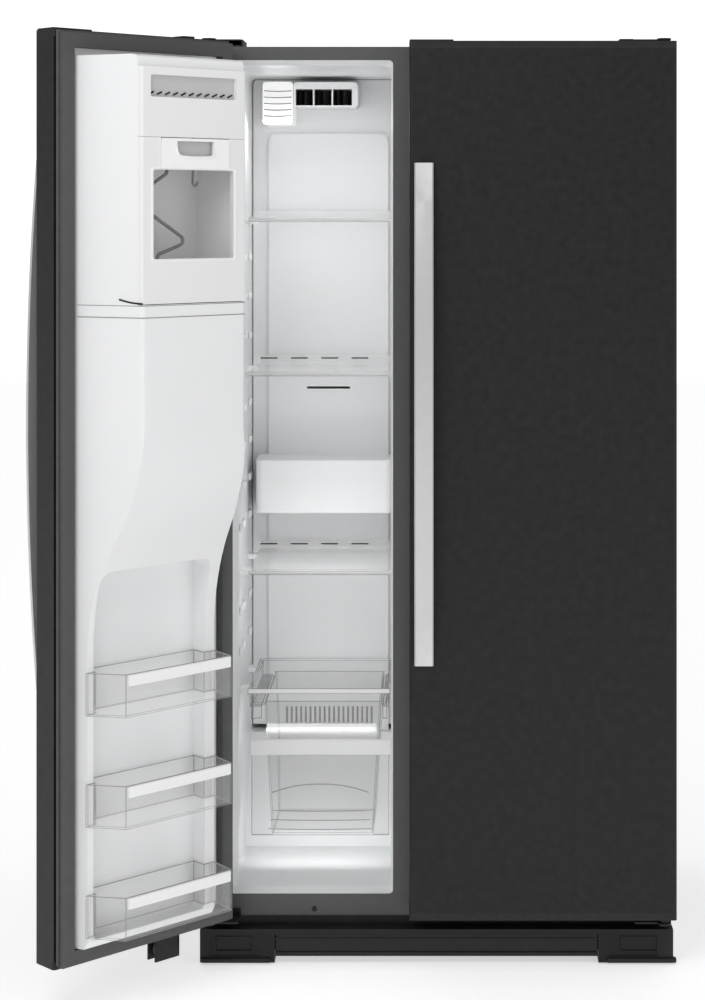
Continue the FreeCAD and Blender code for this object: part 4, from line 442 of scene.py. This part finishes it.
def finish_piece(name, mesh, material, body, swung=False, round_edges=0):
    """A piece from a mesh: placed in the mesh, painted, shaded and riding on a body."""
    if swung:
        mesh.transform(SWUNG)
    piece = bpy.data.objects.new(name, mesh)
    bpy.context.scene.collection.objects.link(piece)
    paint(piece, material)
    if round_edges:
        bevel = piece.modifiers.new("Round edges", "BEVEL")
        bevel.width, bevel.segments, bevel.limit_method = round_edges, 2, "ANGLE"
    for face in mesh.polygons:
        face.use_smooth = True
    mesh.set_sharp_from_angle(angle=SHARP_FROM)
    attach(piece, body)


def block(mesh, low, high):
    """Add a block between two corners, given in millimetres, to a bmesh."""
    centre = (Vector(low) + Vector(high)) / 2 * MM
    size = (Vector(high) - Vector(low)) * MM
    matrix = Matrix.Translation(centre) @ Matrix.Diagonal((*size, 1))
    bmesh.ops.create_cube(mesh, size=1, matrix=matrix)


def blocks(name, spans, material, body, swung=False, round_edges=0):
    """One piece made of several blocks."""
    shape = bmesh.new()
    for low, high in spans:
        block(shape, low, high)
    mesh = bpy.data.meshes.new(name)
    shape.to_mesh(mesh)
    shape.free()
    finish_piece(name, mesh, material, body, swung, round_edges)


# %% [markdown]
# Many things on a refrigerator repeat: vent slats, slots, screws. One Geometry Nodes tree copies a
# small shape to each point of a mesh. The result is turned into a plain mesh, and the tree is taken
# off again, so the piece keeps nothing live.

# %% A tree that copies a shape to points
def shape_tree(name, inputs, output):
    """An empty geometry tree with named inputs, and one output for what it makes."""
    group = bpy.data.node_groups.new(name, "GeometryNodeTree")
    for word, kind in inputs.items():
        group.interface.new_socket(word, in_out="INPUT", socket_type="NodeSocket" + kind)
    group.interface.new_socket(output, in_out="OUTPUT", socket_type="NodeSocketGeometry")
    tree = Tree(group)
    return tree, tree.add("NodeGroupInput"), tree.add("NodeGroupOutput")


def give_out(tree, given, shapes, result):
    """The end of a tree: make the shapes real and paint them."""
    solid = tree.add("GeometryNodeRealizeInstances")
    coat = tree.add("GeometryNodeSetMaterial")
    tree.join(shapes, solid.inputs[0])
    tree.join(solid.outputs[0], coat.inputs["Geometry"])
    tree.join(given.outputs["Finish"], coat.inputs["Material"])
    tree.join(coat.outputs[0], result.inputs[0])


tree, given, result = shape_tree("Copies at points", {"Points": "Geometry", "Shape": "Object",
                                 "Turn": "Rotation", "Finish": "Material"}, "Copies")
copier = tree.tree
shape_node = tree.add("GeometryNodeObjectInfo")
spread = tree.add("GeometryNodeInstanceOnPoints")
tree.join(given.outputs["Shape"], shape_node.inputs["Object"])
tree.join(given.outputs["Points"], spread.inputs["Points"])
tree.join(shape_node.outputs["Geometry"], spread.inputs["Instance"])
tree.join(given.outputs["Turn"], spread.inputs["Rotation"])
give_out(tree, given, spread.outputs[0], result)
print("made", copier.name)

# %% [markdown]
# The second tree lays a round bead along edges: it turns chosen edges into curves and sweeps a
# small ring along them. It draws gasket folds, pipes, and the bright edges of clear plastic, where
# the light runs inside the sheet and comes out at its rim.

# %% A tree that lays a bead along edges
tree, given, result = shape_tree("Bead along edges", {"Edges": "Geometry", "Radius": "Float",
                                 "Sharper than": "Float", "Sides": "Int", "Finish": "Material"}, "Bead")
beader = tree.tree
angle = tree.add("GeometryNodeInputMeshEdgeAngle")
sharp = tree.math("GREATER_THAN", angle.outputs[0], 0.0)
tree.join(given.outputs["Sharper than"], sharp.node.inputs[1])
lines = tree.add("GeometryNodeMeshToCurve")
ring = tree.add("GeometryNodeCurvePrimitiveCircle")
sweep_node = tree.add("GeometryNodeCurveToMesh")
sweep_node.inputs["Fill Caps"].default_value = True
tree.join(given.outputs["Edges"], lines.inputs["Mesh"])
tree.join(sharp, lines.inputs["Selection"])
tree.join(given.outputs["Sides"], ring.inputs["Resolution"])
tree.join(given.outputs["Radius"], ring.inputs["Radius"])
tree.join(lines.outputs[0], sweep_node.inputs["Curve"])
tree.join(ring.outputs[0], sweep_node.inputs["Profile Curve"])
give_out(tree, given, sweep_node.outputs[0], result)
print("made", beader.name)


# %% Run a tree and keep its mesh
def plain_mesh(holder):
    """What an object looks like once its modifiers have run, as a mesh; the object goes."""
    graph = bpy.context.evaluated_depsgraph_get()
    made = bpy.data.meshes.new_from_object(holder.evaluated_get(graph))
    bpy.data.objects.remove(holder)
    return made


def grown(mesh, group, **values):
    """The plain mesh that a tree makes from a mesh, with its named inputs set by identifier."""
    holder = bpy.data.objects.new("holder", mesh)
    bpy.context.scene.collection.objects.link(holder)
    modifier = holder.modifiers.new("Tree", "NODES")
    modifier.node_group = group
    sockets = {item.name: item.identifier for item in group.interface.items_tree if item.in_out == "INPUT"}
    for word, setting in values.items():
        modifier[sockets[word.replace("_", " ")]] = setting
    holder.update_tag()
    return plain_mesh(holder)


EVERY_EDGE = -1.0


def points_mesh(points):
    """A mesh of loose points, given in millimetres."""
    mesh = bpy.data.meshes.new("points")
    mesh.from_pydata([Vector(point) * MM for point in points], [], [])
    return mesh


def copies(name, shape, points, material, body, turn=(0, 0, 0), swung=False):
    """A small shape, built about its own middle, copied to points in millimetres."""
    template = bpy.data.objects.new("template", shape)
    bpy.context.scene.collection.objects.link(template)
    mesh = grown(points_mesh(points), copier, Shape=template, Turn=turn, Finish=material)
    bpy.data.objects.remove(template)
    finish_piece(name, mesh, material, body, swung)


def bead(name, points, radius, material, body, swung=False, loop=False, sides=8):
    """A round bead through points in millimetres; its corners are eased by a smooth curve first."""
    curve = bpy.data.curves.new(name, "CURVE")
    curve.dimensions = "3D"
    spline = curve.splines.new("NURBS")
    spline.points.add(len(points) - 1)
    for place, point in zip(spline.points, points):
        place.co = (*(Vector(point) * MM), 1)
    spline.order_u = 3
    spline.use_cyclic_u, spline.use_endpoint_u = loop, not loop
    curve.resolution_u = 6
    holder = bpy.data.objects.new("line", curve)
    bpy.context.scene.collection.objects.link(holder)
    line = plain_mesh(holder)
    mesh = grown(line, beader, Radius=radius * MM, Sharper_than=EVERY_EDGE, Sides=sides, Finish=material)
    finish_piece(name, mesh, material, body, swung)


def small_block(size, ease=0.3):
    """A block about its own middle, in millimetres, with eased edges."""
    shape = bmesh.new()
    block(shape, [-side / 2 for side in size], [side / 2 for side in size])
    bmesh.ops.bevel(shape, geom=shape.edges[:], offset=ease * MM, segments=1, affect="EDGES")
    mesh = bpy.data.meshes.new("small block")
    shape.to_mesh(mesh)
    shape.free()
    return mesh


def line_of(start, step, count):
    """Evenly spaced points."""
    return [Vector(start) + Vector(step) * n for n in range(count)]


print("the making tools are ready")

# %% [markdown]
# ## Clear edges
# A clear bin is nearly invisible apart from its edges. The frame's solids are copied, their loose
# triangles are merged, and a fine bead is laid along every sharp edge.


# %% Beads on the edges of clear parts
CLEAR_EDGE = math.radians(35)


def edge_beads(node, body, radius):
    """A bead along every sharp edge of a part."""
    copy = parts[node].data.copy()
    shape = bmesh.new()
    shape.from_mesh(copy)
    bmesh.ops.remove_doubles(shape, verts=shape.verts[:], dist=0.05 * MM)
    bmesh.ops.dissolve_limit(shape, angle_limit=math.radians(2), verts=shape.verts[:], edges=shape.edges[:])
    shape.to_mesh(copy)
    shape.free()
    mesh = grown(copy, beader, Radius=radius * MM, Sharper_than=CLEAR_EDGE, Sides=4, Finish=rim_clear)
    finish_piece(node + "_edges", mesh, rim_clear, body)


for node, body, slot in (("door_bin_upper", "freezer_door", "clear_plastic"),
                         ("door_bin_middle", "freezer_door", "clear_plastic"),
                         ("door_bin_lower", "freezer_door", "clear_plastic"),
                         ("freezer_drawer", "drawer", "frosted_plastic"),
                         ("crisper_upper", "upper_crisper", "clear_plastic"),
                         ("crisper_lower", "lower_crisper", "clear_plastic"),
                         ("fridge_door_bins", "fridge_door", "clear_plastic")):
    edge_beads(node, body, 0.5)
print("clear parts have bright edges")

# %% [markdown]
# ## Gaskets
# A door gasket is a rubber bellows with a magnet in its face. Two soft folds run round it, inside
# and outside, and a thin fin lies against the liner.


# %% Folds round a gasket
def rectangle(left, right, low, high, depth, corner):
    """A closed path in a door's plane, with its corners cut so that a smooth curve rounds them."""
    points = []
    for x, z, dx, dz in ((left, low, 1, 1), (right, low, -1, 1),
                         (right, high, -1, -1), (left, high, 1, -1)):
        pair = [(x, depth, z + dz * corner), (x, depth, z), (x + dx * corner, depth, z)]
        points += pair if dx == dz else pair[::-1]
    return points


FOLDS = ((4, 64.5, 2.2), (21.5, 63.5, 2.6), (23.5, 69, 2.2), (26.5, 60, 1.4))


def gasket_folds(door, low, high, swung):
    """The folds of one gasket; each has an inset from its outline, a depth and a radius."""
    for n, (inset, depth, radius) in enumerate(FOLDS):
        path = rectangle(low.x + inset, high.x - inset, low.z + inset, high.z - inset, depth, 12)
        bead(f"{door}_gasket_fold_{n}", path, radius, gasket_rubber, door, swung, loop=True)


gasket_folds("freezer_door", *closed_mm("freezer_door_gasket"), swung=True)
gasket_folds("fridge_door", *box_mm("fridge_door_gasket"), swung=False)
print("gaskets have folds")

# %% [markdown]
# ## Ice maker and ice bin
# The ice maker sits behind a plate with a vent window. Slanted slats close the window's foot, so air
# passes and cubes don't. The bin below has a clear window in a raised rim.

# %% Slats, rim and latch
# Grey for the seams, which are dark joints; the same grey paints shade behind the return slots and along
# the lamp ribs, and the bin's shadow along the higher seam.
seam_and_shade_grey = finish_of("Seam and shade grey", grey(130), grey(120), (MOULDED, {"Rough": 0.6, "Depth": 0.0}))
# Pale grey for the vent panel, partly its own frosted tone and partly painted shade of the recess, and for
# painted shade in the latch pocket.
pale_panel_and_shade = finish_of("Pale panel and painted shade", grey(196), grey(184),
                       (MOULDED, {"Size": 260.0, "Depth": 0.6, "Rough": 0.5}))
vent_low, vent_high = closed_mm("ice_maker_cover")
VENT_LEFT, VENT_RIGHT, VENT_FOOT = vent_low.x + 24, vent_high.x - 24, vent_high.z - 50
SLATS, SLAT = 11, (12, 1.6, 2.6)
slat_step = (VENT_RIGHT - VENT_LEFT - SLAT[0]) / (SLATS - 1)
# The slats are near black: painted shade between the louvres.
copies("ice_vent_slats", small_block(SLAT, 0.4),
       line_of((VENT_LEFT + 8, 193, VENT_FOOT + 4), (slat_step, 0, 0), SLATS), painted_shade_black,
       "freezer_door", (0, math.radians(24), 0), swung=True)
# The grey panel behind the vent window: partly frosted plastic, partly painted shade of the recess.
blocks("ice_vent_shade", [((VENT_LEFT - 6, 191, VENT_FOOT - 4), (VENT_RIGHT + 6, 192, vent_high.z - 13))],
       pale_panel_and_shade, "freezer_door", swung=True, round_edges=0.4 * MM)
pane_low, pane_high = closed_mm("ice_bin_window")
for n, (grow, depth, radius) in enumerate(((3.2, 200, 1.3), (0.6, 197.6, 0.8))):
    path = rectangle(pane_low.x - grow, pane_high.x + grow, pane_low.z - grow, pane_high.z + grow, depth, 7)
    bead(f"ice_window_rim_{n}", path, radius, trim_white, "ice_bin_unit", swung=True,
         loop=True)
latch_low, latch_high = closed_mm("ice_latch")
foot = latch_low.z
LIP = [(latch_low.x + 37, 201, foot + 40), (latch_low.x + 37, 203, foot + 24),
       (latch_low.x + 52, 203.5, foot + 20), (latch_high.x - 52, 203.5, foot + 20),
       (latch_high.x - 37, 203, foot + 24), (latch_high.x - 37, 201, foot + 40)]
bead("ice_latch_lip", LIP, 1.5, trim_white, "ice_bin_latch", swung=True)
# The light grey plate in the latch opening is painted shade of the pocket.
blocks("ice_latch_pocket", [((latch_low.x + 30, 189.5, foot + 18), (latch_high.x - 30, 191, latch_high.z))],
       pale_panel_and_shade, "ice_bin_unit", swung=True)
# A near-black bead along the slanted side beside the bin window is painted shade in the slit.
corner = pane_high.x
SLIT = [(corner + 24.5, 200.6, 1277), (corner + 29, 187, 1277.5),
        (corner + 36, 170, 1280), (corner + 42, 156, 1284)]
bead("ice_corner_slit", SLIT, 1.5, painted_shade_black, "freezer_door", swung=True)
ARM_DEPTH = 150
ARM = [(54, 1600), (54, 1500), (56, 1488), (46, 1484), (44, 1494)]
bead("ice_arm", [(pane_low.x + x, ARM_DEPTH, z) for x, z in ARM], 2.4, wire_steel, "freezer_door",
     swung=True)
print("the ice unit has", SLATS, "slats")


# %% [markdown]
# Two seams run across the liner under the ice bin. The higher one, at the bin's foot, also stands
# in for the bin's shadow there: painted shadow. To follow the bulge, a copy of the liner is sliced
# level at each seam's height, and a grey bead is laid along the cut.


# %% The liner's seams
def slice_bead(name, node, height, radius, material, body, front):
    """A bead along the level cut through a part of the open door, where it stands out past front."""
    shape = bmesh.new()
    shape.from_mesh(parts[node].data)
    shape.transform(UNSWUNG)
    bmesh.ops.remove_doubles(shape, verts=shape.verts[:], dist=0.02 * MM)
    cut = bmesh.ops.bisect_plane(shape, geom=shape.verts[:] + shape.edges[:] + shape.faces[:],
                                 plane_co=(0, 0, height * MM), plane_no=(0, 0, 1))["geom_cut"]
    edges = [item for item in cut if isinstance(item, bmesh.types.BMEdge)]
    keep = [edge for edge in edges if min(vertex.co.y for vertex in edge.verts) > front * MM]
    line = bpy.data.meshes.new(name)
    index = {}
    for edge in keep:
        for vertex in edge.verts:
            index.setdefault(vertex, len(index))
    line.from_pydata([vertex.co.copy() for vertex in index],
                     [tuple(index[vertex] for vertex in edge.verts) for edge in keep], [])
    shape.free()
    mesh = grown(line, beader, Radius=radius * MM, Sharper_than=EVERY_EDGE, Sides=6, Finish=material)
    finish_piece(name, mesh, material, body, swung=True)


LINER_FRONT = 62
for name, height, radius in (("liner_seam", 1252, 0.8), ("bin_seam", 1273, 0.6)):
    slice_bead(name, "freezer_door_liner", height, radius, seam_and_shade_grey, "freezer_door",
               LINER_FRONT)
print("the seams are in place")

# %% [markdown]
# ## Freezer compartment
# Cold air comes out of three cells beside the lamp; a near-black block in each is painted shade.
# Each has two thin guide vanes. The cover lower down has a row of return slots with a grey sheet
# behind them as painted shade, and two shelves have slots at the back, drawn as near-black bars of
# painted shade.

# %% Vanes, painted shade in hollows, and shelf slots
duct_low, duct_high = box_mm("air_duct")
cells = [(duct_low.x + low, duct_low.x + high) for low, high in ((5.5, 39.5), (44.5, 78.5), (83.5, 121))]
# Near-black blocks inside the three cells are painted shade.
duct_shade_blocks = [((left, duct_low.y + 46, duct_low.z + 5), (right, duct_low.y + 69, duct_high.z - 16))
           for left, right in cells]
blocks("duct_hollows", duct_shade_blocks, painted_shade_black, "cabinet")
vanes = [Vector((left + (right - left) * share, duct_low.y + 24, (duct_low.z + duct_high.z) / 2 - 6))
         for left, right in cells for share in (0.34, 0.67)]
copies("duct_vanes", small_block((0.9, 36, 33), 0.2), vanes, black_plastic, "cabinet",
       (0, 0, math.radians(-14)))
SLOT_LENGTH, SLOT_STEP, SLOTS = 36, 64.5, 4
# Near-black bars in the shelves' back slots are painted shade.
for node in ("freezer_shelf_middle", "freezer_shelf_lower"):
    low, high = box_mm(node)
    copies(node + "_slots", small_block((SLOT_LENGTH, 1, 2.6), 0.3),
           line_of((low.x + 18.5, high.y - 3.2, high.z - 6), (SLOT_STEP, 0, 0), SLOTS), painted_shade_black,
           "cabinet")
cover_low, cover_high = box_mm("evaporator_cover")
# A grey sheet behind the return slots is painted shade.
RETURN_AIR = ((cover_low.x + 66, cover_low.y + 13, cover_low.z + 12),
              (cover_high.x - 30, cover_low.y + 15, cover_low.z + 52))
blocks("return_air_hollow", [RETURN_AIR], seam_and_shade_grey, "cabinet")
wall = box_mm("freezer_shelf_top")[0].x - 16
REST_HEIGHTS, REST_DEPTHS = (1345, 1262, 1180, 1040, 962, 884, 806, 640, 560), (236, 300, 440)
rests = [(wall, y, z) for z in REST_HEIGHTS for y in REST_DEPTHS]
copies("shelf_rests", small_block((7, 34, 15), 2.5), rests, liner_white, "cabinet")
lamp_low, lamp_high = box_mm("freezer_lamp_cover")
# The ribs are drawn as grey beads; their grey is painted shade along each rib.
RIBS, RIB_STEP = 5, 13
for n in range(RIBS):
    z = lamp_high.z - 20 - RIB_STEP * n
    rib = [(lamp_low.x + 3, lamp_low.y - 0.3, z + 1),
           ((lamp_low.x + lamp_high.x) / 2, lamp_low.y - 1.2, z - 2),
           (lamp_high.x - 3, lamp_low.y - 0.3, z + 1)]
    bead(f"lamp_rib_{n}", rib, 0.9, seam_and_shade_grey, "cabinet")
print("the freezer has", len(vanes), "vanes and", len(rests), "rests")

# %% [markdown]
# Every shelf is edged with a clear rounded strip that catches the light, and the drawer's front has
# a shallow arc and three ribs pressed into it.

# %% Shelf strips and drawer ribs
SHELF_LIP = 14
for node in ("freezer_shelf_top", "freezer_shelf_middle", "freezer_shelf_lower", "drawer_cover_shelf"):
    low, high = box_mm(node)
    top = high.z - (SHELF_LIP if node != "drawer_cover_shelf" else 0)
    for word, end, mid, drop, radius, finish in (("_strip", 0.6, 0.4, 3.5, 1.0, strip_clear),
                                                 ("_line", 0.2, 0.2, 7.5, 0.7, rim_clear)):
        path = [(low.x + 1.5, low.y + end, top - drop), ((low.x + high.x) / 2, low.y + mid, top - drop),
                (high.x - 1.5, low.y + end, top - drop)]
        bead(node + word, path, radius, finish, "cabinet")
edge_beads("drawer_cover_shelf", "cabinet", 0.6)
edge = ((low.x, low.y - 0.6, high.z - 8), (high.x, low.y + 3, high.z + 0.5))
blocks("cover_shelf_front", [edge], trim_white, "cabinet", round_edges=1.2 * MM)
tub_low, tub_high = box_mm("freezer_drawer")
middle = (tub_low.x + tub_high.x) / 2
front = tub_low.y + 1.2
ARC = [(middle - 96, 0), (middle - 60, 13), (middle, 18), (middle + 60, 13), (middle + 96, 0)]
bead("drawer_arc", [(x, front, tub_low.z + 84 + rise) for x, rise in ARC], 1.1, rim_clear, "drawer")
for n, rise in enumerate((12, 30, 48)):
    half = 104 - 5 * n
    rib = [(middle - half, front, tub_low.z + rise), (middle, front, tub_low.z + rise - 3),
           (middle + half, front, tub_low.z + rise)]
    bead(f"drawer_rib_{n}", rib, 0.9, rim_clear, "drawer")
print("shelves and drawer have their strips")

# %% [markdown]
# ## Dispenser
# The front of the freezer door has a recess for a glass, and water comes from a small nozzle in its
# roof. The key panel above is flat glass with plain marks and no lettering.

# %% Nozzle and key marks
tub_low, tub_high = closed_mm("dispenser_panel")
middle = (tub_low.x + tub_high.x) / 2
roof = tub_low.z - 9


def ring_mesh(radius, wall, height, sides=32):
    """A short tube about its own middle, open at both ends."""
    shape = bmesh.new()
    loops = []
    bore = radius - wall
    for r, z in ((radius, -height / 2), (radius, height / 2), (bore, height / 2), (bore, -height / 2)):
        loops.append([shape.verts.new(Vector((r * math.cos(a), r * math.sin(a), z)) * MM)
                      for a in (math.tau * n / sides for n in range(sides))])
    for n in range(4):
        here, there = loops[n], loops[(n + 1) % 4]
        for k in range(sides):
            following = (k + 1) % sides
            shape.faces.new((here[k], here[following], there[following], there[k]))
    bmesh.ops.recalc_face_normals(shape, faces=shape.faces[:])
    mesh = bpy.data.meshes.new("ring")
    shape.to_mesh(mesh)
    shape.free()
    return mesh


KEYS, KEY_STEP = 5, 33
UPRIGHT = (math.radians(90), 0, 0)
copies("water_nozzle", ring_mesh(4.5, 1.2, 16), [(middle, 24, roof - 7)], black_plastic, "freezer_door",
       swung=True)
key_places = line_of((middle - 66, tub_low.y - 0.2, tub_low.z + 30), (KEY_STEP, 0, 0), KEYS)
for name, shape in (("key_rings", ring_mesh(7.5, 0.7, 0.6)), ("key_dots", ring_mesh(2.0, 1.9, 0.6, 16))):
    copies(name, shape, key_places, icon_white, "freezer_door", UPRIGHT, swung=True)
bars = [((middle - 74 + KEY_STEP * n, tub_low.y - 0.5, tub_low.z + 44),
         (middle - 58 + KEY_STEP * n, tub_low.y + 0.2, tub_low.z + 45.4)) for n in range(KEYS)]
blocks("key_bars", bars, icon_white, "freezer_door", swung=True)
print("the dispenser has its keys")

# %% [markdown]
# Under the hinge end of the freezer door hangs a small roller block. Its wheel runs up a ramp as the
# door closes, and so pulls the door shut.

# %% Roller block under the door
door_low = closed_box("freezer_door_caps")[0] / MM
LEFT, RIGHT, TOP = door_low.x + 104, door_low.x + 160, door_low.z
NEAR, FAR, PLATE = 12, 38, 4
blocks("door_roller_block", [((LEFT, NEAR, TOP - 50), (RIGHT, NEAR + PLATE, TOP)),
       ((LEFT, FAR - PLATE, TOP - 50), (RIGHT, FAR, TOP)), ((LEFT, NEAR, TOP - 5), (RIGHT, FAR, TOP)),
       ((LEFT, NEAR, TOP - 34), (LEFT + 6, FAR, TOP))], black_plastic, "freezer_door",
       swung=True, round_edges=1.2 * MM)
copies("door_roller", ring_mesh(13, 10, 16), [(LEFT + 34, (NEAR + FAR) / 2, TOP - 32)], roller_nylon,
       "freezer_door", UPRIGHT, swung=True)
print("the door has its roller")

# %% [markdown]
# ## Fridge compartment
# Each glass shelf has a white frame along its front edge.

# %% Shelf frames
low, high = box_mm("fridge_shelves")
SHELF_TOPS = (1400, 1100, 800, 500)
for n, top in enumerate(SHELF_TOPS):
    edge = ((low.x, low.y - 2.5, top - 13), (high.x, low.y + 2, top + 1.5))
    blocks(f"fridge_shelf_frame_{n}", [edge], trim_white, "cabinet", round_edges=1.5 * MM)
print("the fridge shelves are framed")

# %% [markdown]
# ## Machinery and back
# The toe grille gets its raised fascia, end rims and feet, and a black plate behind it as painted
# shade. Two copper pipes join the compressor to the condenser coil, and small screws hold the rear
# panel.

# %% Grille front
grille_low, grille_high = box_mm("toe_grille")
END_WIDTH = 144
fascia_left, fascia_right = grille_low.x + END_WIDTH, grille_high.x - END_WIDTH
front, bottom = grille_low.y, grille_low.z
fascia = [((fascia_left, front + 3, bottom + 19), (fascia_right, front + 6, grille_high.z - 9)),
          ((fascia_left, front, bottom + 12), (fascia_right, front + 6, bottom + 20))]
blocks("grille_fascia", fascia, black_plastic, "cabinet", round_edges=1.5 * MM)
for side, edge in ((1, grille_low.x), (-1, grille_high.x)):
    left, right = sorted((edge + side * 8, edge + side * 122))
    rim = rectangle(left + 22, right - 22, grille_low.z + 22, grille_high.z - 14, grille_low.y + 0.4, 6)
    bead(f"grille_end_rim_{side + 1}", rim, 1.6, black_plastic, "cabinet", loop=True)
    base = ((left - 6, grille_low.y - 5, grille_low.z), (right + 14, grille_low.y + 8, grille_low.z + 10))
    blocks(f"grille_foot_{side + 1}", [base], black_plastic, "cabinet", round_edges=3 * MM)
# A black plate behind the grille hides the lit frame behind its slots: painted shade.
grille_backing = ((grille_low.x + 14, 79.5, grille_low.z + 40), (grille_high.x - 14, 82.5, grille_high.z + 18))
blocks("kick_panel", [grille_backing], black_plastic, "cabinet")
print("the grille spans", [round(c) for c in grille_low], [round(c) for c in grille_high])

# %% Pipes and screws
pump_low, pump_high = box_mm("compressor")
coil_low, coil_high = box_mm("condenser_coil")
pump = (pump_low + pump_high) / 2
coil = (coil_low + coil_high) / 2
toward = 1 if coil.x > pump.x else -1
ends = (pump_high.x, coil_low.x) if toward > 0 else (pump_low.x, coil_high.x)
for n, (lift, back) in enumerate(((12, -46), (-8, 50))):
    start, end = pump.z + lift, coil.z + lift
    path = [(ends[0] - toward * 6, pump.y + back, start), (ends[0] + toward * 16, pump.y + back, start),
            (ends[0] + toward * 30, pump.y + back * 1.3, start + 34),
            (ends[1] - toward * 36, coil.y + back, end + 26),
            (ends[1] - toward * 18, coil.y + back, end), (ends[1] + toward * 5, coil.y + back, end)]
    bead(f"discharge_pipe_{n}", path, 3.2, copper, "cabinet")
SCREW_INSET, UP_GAPS, ACROSS_GAPS = 12, 6, 5
back_low, back_high = box_mm("rear_panel")
depth = back_high.y + 1.2
up_step = (back_high.z - back_low.z - 60) / UP_GAPS
across_step = (back_high.x - back_low.x - 2 * SCREW_INSET) / ACROSS_GAPS
left, right = back_low.x + SCREW_INSET, back_high.x - SCREW_INSET
rows = [(x, depth, back_low.z + 30 + n * up_step) for x in (left, right) for n in range(UP_GAPS + 1)]
rows += [(left + n * across_step, depth, back_high.z - SCREW_INSET) for n in range(1, ACROSS_GAPS)]
copies("rear_panel_screws", ring_mesh(5, 3.4, 3.0, 6), rows, screw_steel, "cabinet", UPRIGHT)
print("the back has", len(rows), "screws")

# %% [markdown]
# ## Camera and light
# The camera stands four metres away at about eye height, level, and is shifted so that upright
# edges stay upright, as a product photographer would shift the lens. The room is a white sweep with
# two large soft lights, so the floor shows only a thin shadow. Small lights inside the freezer stand
# in for the light that its lamp and white walls spread.

# %% Camera
lens = bpy.data.cameras.new("Camera")
SENSOR, FOCAL_LENGTH = 36, 76.74
EYE, EYE_HEIGHT = -4.0355, 1.4372
lens.sensor_width, lens.lens = SENSOR, FOCAL_LENGTH
lens.shift_x, lens.shift_y = -0.08406, -0.28754
camera = bpy.data.objects.new("Camera", lens)
bpy.context.scene.collection.objects.link(camera)
camera.location = (0, EYE, EYE_HEIGHT)
camera.rotation_euler = (math.radians(90), 0, 0)
bpy.context.scene.camera = camera
print("the camera looks at", bpy.context.scene.name, "with a", lens.lens, "mm lens")

# %% White sweep
sweep_material = bpy.data.materials.new("White sweep")
sweep_material.use_nodes = True
sweep_shader = sweep_material.node_tree.nodes["Principled BSDF"]
for word, setting in (("Base Color", (0.95, 0.95, 0.95, 1)), ("Emission Color", (1, 1, 1, 1)),
                      ("Emission Strength", 0.5), ("Roughness", 0.9)):
    sweep_shader.inputs[word].default_value = setting
floor_mesh = bpy.data.meshes.new("Sweep")
FLOOR = 14
floor_mesh.from_pydata([(-FLOOR, -FLOOR, 0), (FLOOR, -FLOOR, 0), (FLOOR, FLOOR, 0), (-FLOOR, FLOOR, 0)], [],
                       [(0, 1, 2, 3)])
sweep = bpy.data.objects.new("sweep", floor_mesh)
bpy.context.scene.collection.objects.link(sweep)
paint(sweep, sweep_material)

world = bpy.data.worlds.new("Studio")
world.use_nodes = True
sky = Tree(world.node_tree)
dome = world.node_tree.nodes["Background"]
seen = sky.add("ShaderNodeLightPath")
DOME, BACKDROP = 0.5, 1.15
strength = sky.add("ShaderNodeMapRange", To_Min=DOME, To_Max=BACKDROP)
sky.join(seen.outputs["Is Camera Ray"], strength.inputs["Value"])
sky.join(strength.outputs[0], dome.inputs["Strength"])
dome.inputs["Color"].default_value = (1, 1, 1, 1)
bpy.context.scene.view_settings.view_transform = "Standard"
bpy.context.scene.world = world


# %% Soft boxes
def soft_light(name, place, target, size, power, height=None):
    """A rectangular area light that faces a point."""
    light = bpy.data.lights.new(name, "AREA")
    light.shape, light.size, light.size_y = "RECTANGLE", size, height or size
    light.energy = power
    lamp = bpy.data.objects.new(name, light)
    bpy.context.scene.collection.objects.link(lamp)
    lamp.location = place
    lamp.rotation_euler = (Vector(target) - Vector(place)).to_track_quat("-Z", "Y").to_euler()


soft_light("Key", (-1.0, -2.3, 2.7), (0.1, 0, 1.5), 1.3, 21)
soft_light("Fill", (3.0, -2.6, 1.6), (0.2, 0, 0.9), 1.6, 12, 2.4)
soft_light("Freezer lamp", (-0.335, 0.395, 1.64), (-0.30, 0.20, 1.2), 0.06, 0.25, 0.06)
SHELF_LIGHTS = {1.62: 0.13, 1.36: 0.2, 1.04: 0.1, 0.79: 0.12, 0.66: 0.1, 0.42: 0.16, 0.2: 0.12}
for height, power in SHELF_LIGHTS.items():
    soft_light(f"Shelf light {height}", (-0.24, 0.215, height), (-0.24, 0.5, height - 0.1), 0.24,
               power, 0.04)
